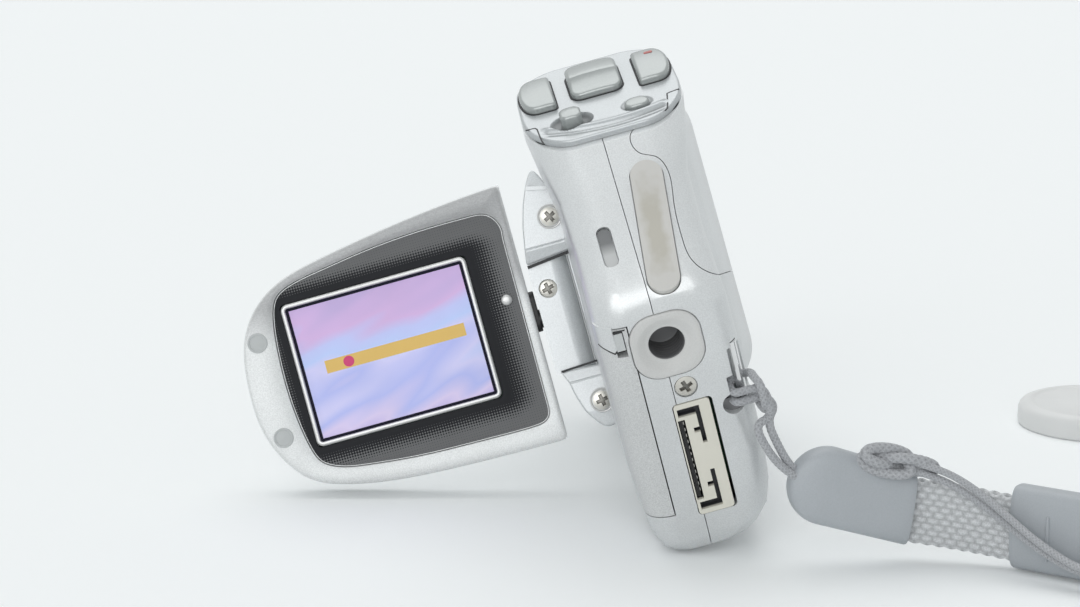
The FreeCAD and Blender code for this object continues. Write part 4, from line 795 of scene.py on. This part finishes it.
# ---- Screen hinge: covers, block and screws ----
# Two leaf-shaped covers, painted silver, are screwed over the hinge pin's ends; between them turns the
# block that carries the screen. Cross-head steel screws sit in shallow bright washers.
hinge_silver = moulded("hinge_silver", (0.62, 0.64, 0.65), 0.3, fleck=0.06, metallic=0.35, coat=0.3)


def lowest(name, place):
    """The lowest height of a CAD piece over a drawing board."""
    return float(corners(name, place)[:, 2].min())


def groove(distance, wide, deep):
    """A rounded groove: a bell of that depth and width over the distance from its line."""
    return deep * np.exp(-(distance / wide) ** 2)


# Near black strips laid over narrow gaps: painted shadow in the gaps.
gap_shadow_black = moulded("gap_shadow_black", (0.03, 0.03, 0.032), 0.6)


def ribbon(name, place, points, wide, lift, finish):
    """A narrow flat strip that follows a line of points on a drawing board, given with or without a
    height over the lift."""
    points = np.array(points, float)
    line, along = evenly(np.c_[points, np.zeros((len(points), 3 - points.shape[1]))], 0.12)
    ahead = unit(np.gradient(line[:, :2], axis=0))
    side = np.stack([-ahead[:, 1], ahead[:, 0]], 1) * wide / 2
    lift = lift + line[:, 2]
    edges = [(line[:, :2] + side, lift - 0.12), (line[:, :2] + side, lift), (line[:, :2] - side, lift),
             (line[:, :2] - side, lift - 0.12)]
    grid = np.stack([place.point(*spots.T, height) for spots, height in edges], 1)
    return skin(name, grid, finish)


def upper_face(x, y):
    """Flat at 3.9 mm; falls away below a scored line at 9.3, and past the tip's slanted crease."""
    past = y - 18.6 + 0.25 * (x + 11.6)
    return 3.9 - 0.28 * np.clip(9.3 - y, 0, 3) - groove(y - 9.3, 0.14, 0.16) \
        - 0.75 * np.clip(past, 0, 0.8) - 0.22 * np.clip(past - 0.8, 0, 9)


def lower_face(x, y):
    """Flat at 3.9 mm; falls away above a scored line at -14.4."""
    return 3.9 - 0.28 * np.clip(y + 14.4, 0, 3) - groove(y + 14.4, 0.14, 0.16) - 0.1 * np.clip(-20 - y, 0, 9)


upper_leaf = [(-17.0, 6.7), (-9.25, 7.5), (-8.85, 10.3), (-9.1, 14.3), (-9.45, 16.6), (-10.0, 18.8),
              (-10.8, 20.9), (-11.7, 22.4), (-12.4, 22.0), (-13.5, 20.2), (-14.9, 16.8), (-15.9, 13.3),
              (-16.6, 9.5)]
lower_leaf = [(-9.0, -23.0), (-9.0, -12.6), (-16.3, -12.0), (-15.3, -14.4), (-14.85, -16.9), (-13.85, -19.9),
              (-12.4, -22.1), (-11.4, -23.1), (-10.3, -23.35)]
for side, face, leaf in (("upper", upper_face, upper_leaf), ("lower", lower_face, lower_leaf)):
    name = "hinge_cover_" + side
    loop = eased(evenly_round(np.array(leaf), 420), 10)
    leaf = plated(name + "_leaf", PANEL, loop, lowest(name, PANEL), face, hinge_silver, edge=0.3, rows=60)
    fitted(leaf, "hinge_silver", "camera", name)

# Steel for screw heads, with painted shade in their crosses.
screw_steel = shaded("screw_steel", (0.66, 0.64, 0.59), 0.3, 0.3, metallic=0.8)


def screw_head(name, place, x, y, lift, radius, twist):
    """A domed screw head: height falls with the square of the radius, with a cross sunk into its middle
    and painted shade in the cross; a turned-down edge closes it."""
    turn = angles(96)
    ring = np.r_[radius, radius, radius * np.linspace(0.99, 0.01, 46)][:, None]
    across, up = np.abs(ring * np.cos(turn - twist)), np.abs(ring * np.sin(turn - twist))
    arm_wide, arm_long, steep = 0.17 * radius, 0.62 * radius, 14
    cross = np.clip((arm_wide - np.minimum(across, up)) * steep + 0.5, 0, 1)
    cross = cross * np.clip((arm_long - np.maximum(across, up)) * steep + 0.5, 0, 1)
    dome = lift + 0.3 * (1 - (ring / radius) ** 2) - 0.45 * cross
    dome[0], dome[1] = lift - 0.9, lift - 0.05
    return skin(name, place.point(x + ring * np.cos(turn), y + ring * np.sin(turn), dome), screw_steel,
                shade=1 - cross)


def washer(name, place, x, y, lift, radius):
    """A thin bright ring round a screw: a half-round bead."""
    bead = np.array([(0.12, -0.2), (0.12, 0), (0.2, 0.07), (0.4, 0.1), (0.52, 0.04), (0.55, -0.2)])
    return spun(name, place, x, y, bead + (radius, lift), bright_trim, closed=False)


heads, rings = [], []
for number, (x, y, twist) in enumerate(((-11.0, 13.8, 0.5), (-10.7, -18.6, 0.2))):
    heads.append(screw_head(f"cover_head_{number}", PANEL, x, y, 4.35, 1.6, twist))
    rings.append(washer(f"cover_washer_{number}", PANEL, x, y, 3.95, 1.6))
fitted(joined("cover_screw_heads", heads), "steel", "camera", "hinge_cover_screws")
fitted(joined("cover_screw_washers", rings), "steel", "camera")
spots = corners("hinge_block_screw", PANEL)
block_x, block_y = (spots.max(0) + spots.min(0))[:2] / 2
block_top = spots[:, 2].max()
head = screw_head("block_screw_head", PANEL, block_x, block_y, block_top - 0.2, 1.6, 0.25)
fitted(head, "steel", "hinge_block", "hinge_block_screw")
fitted(washer("block_screw_washer", PANEL, block_x, block_y, block_top - 0.05, 1.6), "steel", "hinge_block")

# Painted shadows in the gaps between the hinge covers and the block.
gaps = [ribbon("cover_gap_shadow_upper", PANEL, [(-16.9, 6.4), (-9.4, 7.2)], 0.52, 3.68, gap_shadow_black),
        ribbon("cover_gap_shadow_lower", PANEL, [(-16.1, -12.2), (-9.7, -11.9)], 0.35, 3.68, gap_shadow_black)]
fitted(joined("hinge_gap_shadow_lines", gaps), "hinge_silver", "camera")
EDGE = Place(PANEL.point(-18.0, -1.15, 0), PANEL.axes[1], PANEL.axes[2], PANEL.axes[0])
spine = plated("hinge_spine", PANEL, rounded(1.7, 20.5, 0.7, -9.05, -2.6, 240), -3.0, 0.8, hinge_silver,
               edge=0.3, rows=8)
fitted(spine, "hinge_silver", "camera")
boot = plated("tilt_boot", EDGE, rounded(7.1, 3.2, 1.5, count=240), -0.2, 0.85, black_plastic, edge=0.2,
              rows=6)
fitted(boot, "black_plastic", "screen_panel")


# ---- Control cluster on the bend ----
# A pale silver trim plate caps the body. Its front lip is a raised curved ridge over two grooves. Two
# D-shaped buttons, a rocker with a cross ridge, a small stick and a menu button stand in it.
def bow(x, low):
    """The lip's curve: lowest a little right of the middle, rising with the square towards both ends."""
    return low + 0.0195 * (x - 1.5) ** 2


stick_x, stick_y = -5.3, 5.0
menu_x, menu_y = 5.2, 5.1
rocker_y = 15.4


def plate_height(x, y):
    """Flat, plus a bell-shaped ridge along the lip, minus two grooves in front of it, minus shallow
    dishes round the stick and the menu button and a sunk floor under the rocker."""
    end = np.clip((10.2 - np.abs(x + 0.2)) * 0.8, 0, 1)
    lip = 0.42 * np.exp(-((y - bow(x, 1.95)) / 0.55) ** 2) * end
    dips = groove(y - bow(x, 1.0), 0.24, 0.35) * end + groove(y - bow(x, 0.15) + 0.1, 0.16, 0.25) * end
    dish = 0.95 * np.clip(1.25 - ((x - stick_x) / 3.1) ** 2 - ((y - stick_y) / 2.3) ** 2, 0, 1) ** 0.6
    dish = dish + 0.45 * np.clip(1.3 - ((x - menu_x) / 2.3) ** 2 - ((y - menu_y) / 1.8) ** 2, 0, 1) ** 0.6
    past_x, past_y = np.abs(x) - 2.45, np.abs(y - rocker_y) - 2.75
    outside = np.hypot(np.maximum(past_x, 0), np.maximum(past_y, 0))
    well = 1.9 - outside - np.minimum(np.maximum(past_x, past_y), 0)
    return lip - dips - dish - 0.95 * np.clip(well / 0.2, 0, 1)


def plate_shade(x, y):
    """Painted shade: darker in the grooves and the dishes."""
    return np.clip(1 + 2.0 * np.minimum(plate_height(x, y), 0), 0, 1)


CLUSTER = facing(BODY.point(1.15, 11.0, 23.3), -unit(joints["photo_button_press"]["axis"]))
cluster_silver = shaded("cluster_silver", (0.475, 0.495, 0.505), 0.3, 0.35, fleck=0.05, metallic=0.5)
plate_loop = evenly_round(rims("control_panel", CLUSTER)[0], 420)
cluster_plate = plated("cluster_plate", CLUSTER, plate_loop, lowest("control_panel", CLUSTER), plate_height,
                       cluster_silver, edge=0.45, rows=90, shade=plate_shade)
fitted(cluster_plate, "panel_pale", "camera", "control_panel")
# Painted shadows along the plate's seams at its tabs; more are laid round the buttons and the rocker below.
shut_shadows = [ribbon("plate_tab_shadow_left", CLUSTER, [(-12.6, 6.2), (-11.1, 6.05), (-10.85, 5.5), (-10.7, 1.8),
                                            (-10.5, 0.35)], 0.22, 0.03, gap_shadow_black),
         ribbon("plate_tab_shadow_right", CLUSTER, [(12.2, 5.95), (10.6, 5.65), (10.15, 5.5), (9.9, 3.8), (9.4, 1.1),
                                             (8.9, 0.4)], 0.22, 0.03, gap_shadow_black)]


def shut(loop, lift, wide, name):
    """A painted shadow round an opening: a flat dark ring that hugs its outline."""
    return terraced(name, CLUSTER, gap_shadow_black,
                    (loop, (-wide, lift - 0.2), (-wide, lift), (0.1, lift), (0.1, lift - 0.2)))


# the D-shaped buttons: flat towards the rocker, round towards the outside
button_silver = moulded("button_silver", (0.37, 0.39, 0.385), 0.26, fleck=0.03, metallic=0.55)
half_d = np.linspace(-np.pi / 2, np.pi / 2, 25)
round_side = np.stack([0.3 + 2.55 * np.cos(half_d) ** 0.8, 4.85 * np.sin(half_d)], 1)
d_shape = np.r_[[(-2.6, -4.85), (0.3, -4.85)], round_side[1:-1], [(0.3, 4.85), (-2.6, 4.85)]]
for name, side in (("photo_button", -1), ("record_button", 1)):
    button_x = side * 9.4
    outline = d_shape * (side, 1) + (button_x, 15.0)
    loop = eased(evenly_round(outline[::side], 360), 12)

    def crown(x, y):
        """Falls with the squares of the distances from a point nearer the rocker, and a little forwards."""
        return 1.45 - 0.022 * (x - button_x + 0.5 * side) ** 2 - 0.012 * (y - 15.5) ** 2 - 0.02 * (y - 15)

    cap = plated(name + "_cap", CLUSTER, loop, -1.1, crown, button_silver, edge=0.5, rows=16)
    fitted(cap, "button_grey", name, name)
    shut_shadows.append(shut(loop, 0.06, 0.28, name + "_line"))

rocker_loop = rounded(8.3, 8.9, 1.7, 0, rocker_y, 420)


def rocker_top(x, y):
    """A cross ridge at 15, nearly level behind it, and a hollow slope in front that lifts at its foot."""
    ahead, behind = np.clip(15.0 - y, 0, 9), np.clip(y - 15.6, 0, 9)
    return 2.3 - 0.62 * ahead + 0.085 * ahead ** 2 - 0.05 * behind - 0.02 * behind ** 2 - 0.012 * x ** 2


rocker = plated("zoom_rocker_cap", CLUSTER, rocker_loop, -0.36, rocker_top, button_silver, edge=0.55, rows=44)
fitted(rocker, "button_grey", "zoom_rocker", "zoom_rocker")
shut_shadows.append(shut(rocker_loop, 0.06, 0.3, "zoom_rocker_line"))

stick_loop = eased(evenly_round(np.array([(-7.0, 4.0), (-6.3, 3.3), (-4.3, 3.3), (-3.6, 4.0), (-3.6, 6.0),
                                          (-4.3, 6.7), (-6.3, 6.7), (-7.0, 6.0)]), 240), 5)


def domed(middle_x, middle_y, top, fall):
    """A height that falls with the square of the distance from a middle."""
    return lambda x, y: top - fall * ((x - middle_x) ** 2 + (y - middle_y) ** 2)


stick = plated("stick_cap", CLUSTER, stick_loop, -1.3, domed(stick_x, stick_y, 2.0, 0.09), button_silver,
               edge=0.35, rows=14)
fitted(stick, "button_grey", "joystick_cap", "joystick_cap")
menu_loop = rounded(3.9, 2.9, 1.44, menu_x, menu_y, 240)
menu = plated("menu_cap", CLUSTER, menu_loop, -1.1, domed(menu_x, menu_y, 0.62, 0.06), button_silver,
              edge=0.35, rows=12)
fitted(menu, "button_grey", "menu_button", "menu_button")
fitted(joined("cluster_shut_shadows", shut_shadows), "panel_pale", "camera")
mark_red = moulded("mark_red", (0.46, 0.13, 0.12), 0.4)
mark = plated("record_mark", CLUSTER, rounded(1.4, 0.6, 0.28, 9.6, 17.9, 96), 1.0, 1.42, mark_red, edge=0.05,
              rows=5)
fitted(mark, "button_grey", "record_button")


# ---- End face: tripod socket, body screw, battery door and latch ----
# A pale moulded ring leads into the threaded socket. Below it are a cross-head screw and the connector;
# beside them the battery door, its latch tab and the tip of the shell that overlaps the door.
socket_middle = np.array([0.4, -8.1])
bearing = np.linspace(-np.pi, np.pi, 361)[:-1]
ring_outline = by_bearing(rims("tripod_ring", FOOT)[0], socket_middle, 360)


def circle(radius):
    """A circle round the tripod socket, sampled at the ring's bearings."""
    return socket_middle + radius * np.stack([np.cos(bearing), np.sin(bearing)], 1)


ring_grey = moulded("ring_grey", (0.62, 0.62, 0.61), 0.42, fleck=0.03)
funnel = [(circle(radius), (0, lift)) for radius, lift in
          ((4.75, 0.35), (4.5, 0.3), (3.6, -0.28), (3.2, -0.42), (2.85, -0.5), (2.8, -0.6))]
ring = terraced("tripod_ring_funnel", FOOT, ring_grey,
                (ring_outline, (0, -0.5), (0, 0.1), (0.08, 0.24), (0.3, 0.35)), *funnel)
fitted(ring, "ring_silver", "camera", "tripod_ring")
# The socket's thread and the strap hole's floor are painted dark as the shade deep inside them.
hole_shade_dark = moulded("hole_shade_dark", (0.20, 0.20, 0.205), 0.4, metallic=0.5)
depth = np.linspace(-0.75, -6.0, 64)
turns = 2.62 + 0.13 * np.abs(((depth / 0.75) % 1) * 2 - 1)
socket = spun("tripod_socket_thread", FOOT, *socket_middle, [
    (0.02, -7.2), (3.35, -7.2), (3.35, -0.75), (3.2, -0.65), (2.85, -0.65), *zip(turns, depth), (2.5, -6.1),
    (0.02, -6.2)], hole_shade_dark)
fitted(socket, "steel", "camera", "tripod_insert")
# A dark disc at the strap hole's floor: painted shade.
hole_shade_disc = spun("strap_hole_shade_disc", FOOT, 7.7, -22.6, [
    (1.85, -1.4), (1.85, -1.1), (0.9, -1.2), (0.02, -1.25)], hole_shade_dark)
fitted(hole_shade_disc, "black_plastic", "camera")
body_screw = screw_head("body_screw_head", FOOT, 1.6, -16.0, 0.02, 1.68, 0.35)
fitted(body_screw, "steel", "camera", "body_screw")
connector_top = float(corners("dock_connector_shell", FOOT)[:, 2].max())
connector_cream = moulded("connector_cream", (0.72, 0.70, 0.62), 0.45)
x, y, z = board_tones(connector_cream.node_tree, FOOT)
# Painted shade in the connector's holes: the moulding turns near black deeper than 0.35 mm below its top.
sunk = ((connector_top - 0.35 - z) * 3.0).held()
painted(connector_cream, blended(sunk, (0.72, 0.70, 0.62), (0.035, 0.035, 0.04)))
dress(connector_cream, "dock_connector_shell")
latch_pale = moulded("latch_pale", (0.55, 0.57, 0.57), 0.4, fleck=0.04)
dress(latch_pale, "door_latch")
tongue_tip = [(-9.7, -2.9), (-9.75, -6.0), (-9.6, -6.4), (-7.6, -7.45), (-7.1, -6.9), (-7.2, -2.9)]


def side_fall(x):
    """The shell's round to its left side: a quarter circle that starts left of the middle."""
    round_radius, round_from = 4.3, -5.5
    return np.sqrt(round_radius ** 2 - np.clip(round_from - x, 0, 4.28) ** 2) - round_radius


tongue_loop = eased(evenly_round(np.array(tongue_tip), 240), 2)
tongue = plated("shell_tongue", FOOT, tongue_loop, -4.5, lambda x, y: 0.1 + side_fall(x), silver_paint,
                edge=0.1, rows=20)
fitted(tongue, "body_silver", "camera")
tongue_edge = np.array([(-9.6, -6.48), (-9.3, -6.65), (-9.0, -6.8), (-8.3, -7.2), (-7.55, -7.62),
                        (-6.95, -6.95), (-7.05, -4.2), (-7.0, -3.75), (-5.3, -3.7)])
tongue_edge = np.c_[tongue_edge, side_fall(tongue_edge[:, 0])]
# Painted shadows along the tongue's edge and over the latch.
door_lines = [ribbon("tongue_line", FOOT, tongue_edge, 0.22, 0.06, gap_shadow_black),
              ribbon("latch_line", FOOT, [(-7.1, -4.05), (-5.85, -3.95)], 0.75, 0.05, gap_shadow_black)]
fitted(joined("door_shadow_lines", door_lines), "body_silver", "camera")


# ---- Grip pad and indicator ----
# A soft moulded pad is worn brown down its middle by the thumb. The indicator is a smoked window over a
# lamp: darker towards its upper end.
pad_lean = math.radians(21)
PAD = facing(heel, math.sin(pad_lean) * UPWARD - math.cos(pad_lean) * FORWARD)
pad_turn = math.radians(-6.5)
pad_x, pad_y, pad_out = PAD.axes
PAD_TURNED = Place(PAD.point(3.4, 11.3, 0), math.cos(pad_turn) * pad_x + math.sin(pad_turn) * pad_y,
                   math.cos(pad_turn) * pad_y - math.sin(pad_turn) * pad_x, pad_out)
pad_rubber = moulded("pad_rubber", (0.45, 0.41, 0.37), 0.7)
tree = pad_rubber.node_tree
x, y, z = board_tones(tree, PAD_TURNED)
blotch = noise(tree, tree.nodes["Texture Coordinate"].outputs["Object"], 420, 5)
off = worked(tree, "MAXIMUM", worked(tree, "ABSOLUTE", x) / 2.5, worked(tree, "ABSOLUTE", y) / 10.4)
worn = ((blotch * 0.9 + 0.35 - off) * 2.2).held()
painted(pad_rubber, blended(worn, (0.62, 0.61, 0.585), (0.52, 0.50, 0.445)))
smoke = moulded("smoked_window", (0.4, 0.4, 0.4), 0.25, coat=0.3, grain=0.05)
x, y, z = board_tones(smoke.node_tree, PAD)
painted(smoke, blended(((y - 9.0) / 2.0).held(), (0.56, 0.57, 0.57), (0.20, 0.205, 0.21)))
dress(smoke, "indicator_window")


# ---- Painted shells ----
# The shells, covers and door are moulded with soft rounds where their faces meet. Their own meshes are
# carried over with the rounds shaded as one surface.
def softened(name, finish, slot, body):
    """A copy of a CAD piece with its loose triangles merged. Its rounds are shaded smoothly, with larger
    faces counting for more, and edges past 32 degrees stay sharp."""
    shape = bmesh.new()
    shape.from_mesh(frame["nodes"][name].data)
    bmesh.ops.remove_doubles(shape, verts=shape.verts, dist=2e-6)
    for face in shape.faces:
        face.smooth = True
    for edge in shape.edges:
        edge.smooth = len(edge.link_faces) == 2 and edge.calc_face_angle(0) < math.radians(32)
    mesh = bpy.data.meshes.new(name + "_soft")
    shape.to_mesh(mesh)
    shape.free()
    mesh.materials.append(finish)
    piece = bpy.data.objects.new(name + "_soft", mesh)
    bpy.context.scene.collection.objects.link(piece)
    piece.modifiers.new("weighted", "WEIGHTED_NORMAL").keep_sharp = True
    fitted(piece, slot, body, name)


door_silver = moulded("door_silver", (0.62, 0.63, 0.63), 0.5, fleck=0.10, metallic=0.2)
screen_silver = moulded("screen_silver", (0.42, 0.43, 0.43), 0.35, fleck=0.05, metallic=0.6)
softened("left_shell", silver_paint, "body_silver", "camera")
softened("right_shell", silver_paint, "body_silver", "camera")
softened("right_side_cover", silver_paint, "body_silver", "camera")
softened("grip_pad", pad_rubber, "warm_rubber", "camera")
softened("battery_door", door_silver, "door_grey", "battery_door")
softened("lens_ring", screen_silver, "ring_silver", "camera")
softened("hinge_block", hinge_silver, "hinge_silver", "hinge_block")
softened("lcd_back_cover", silver_paint, "lcd_silver", "screen_panel")
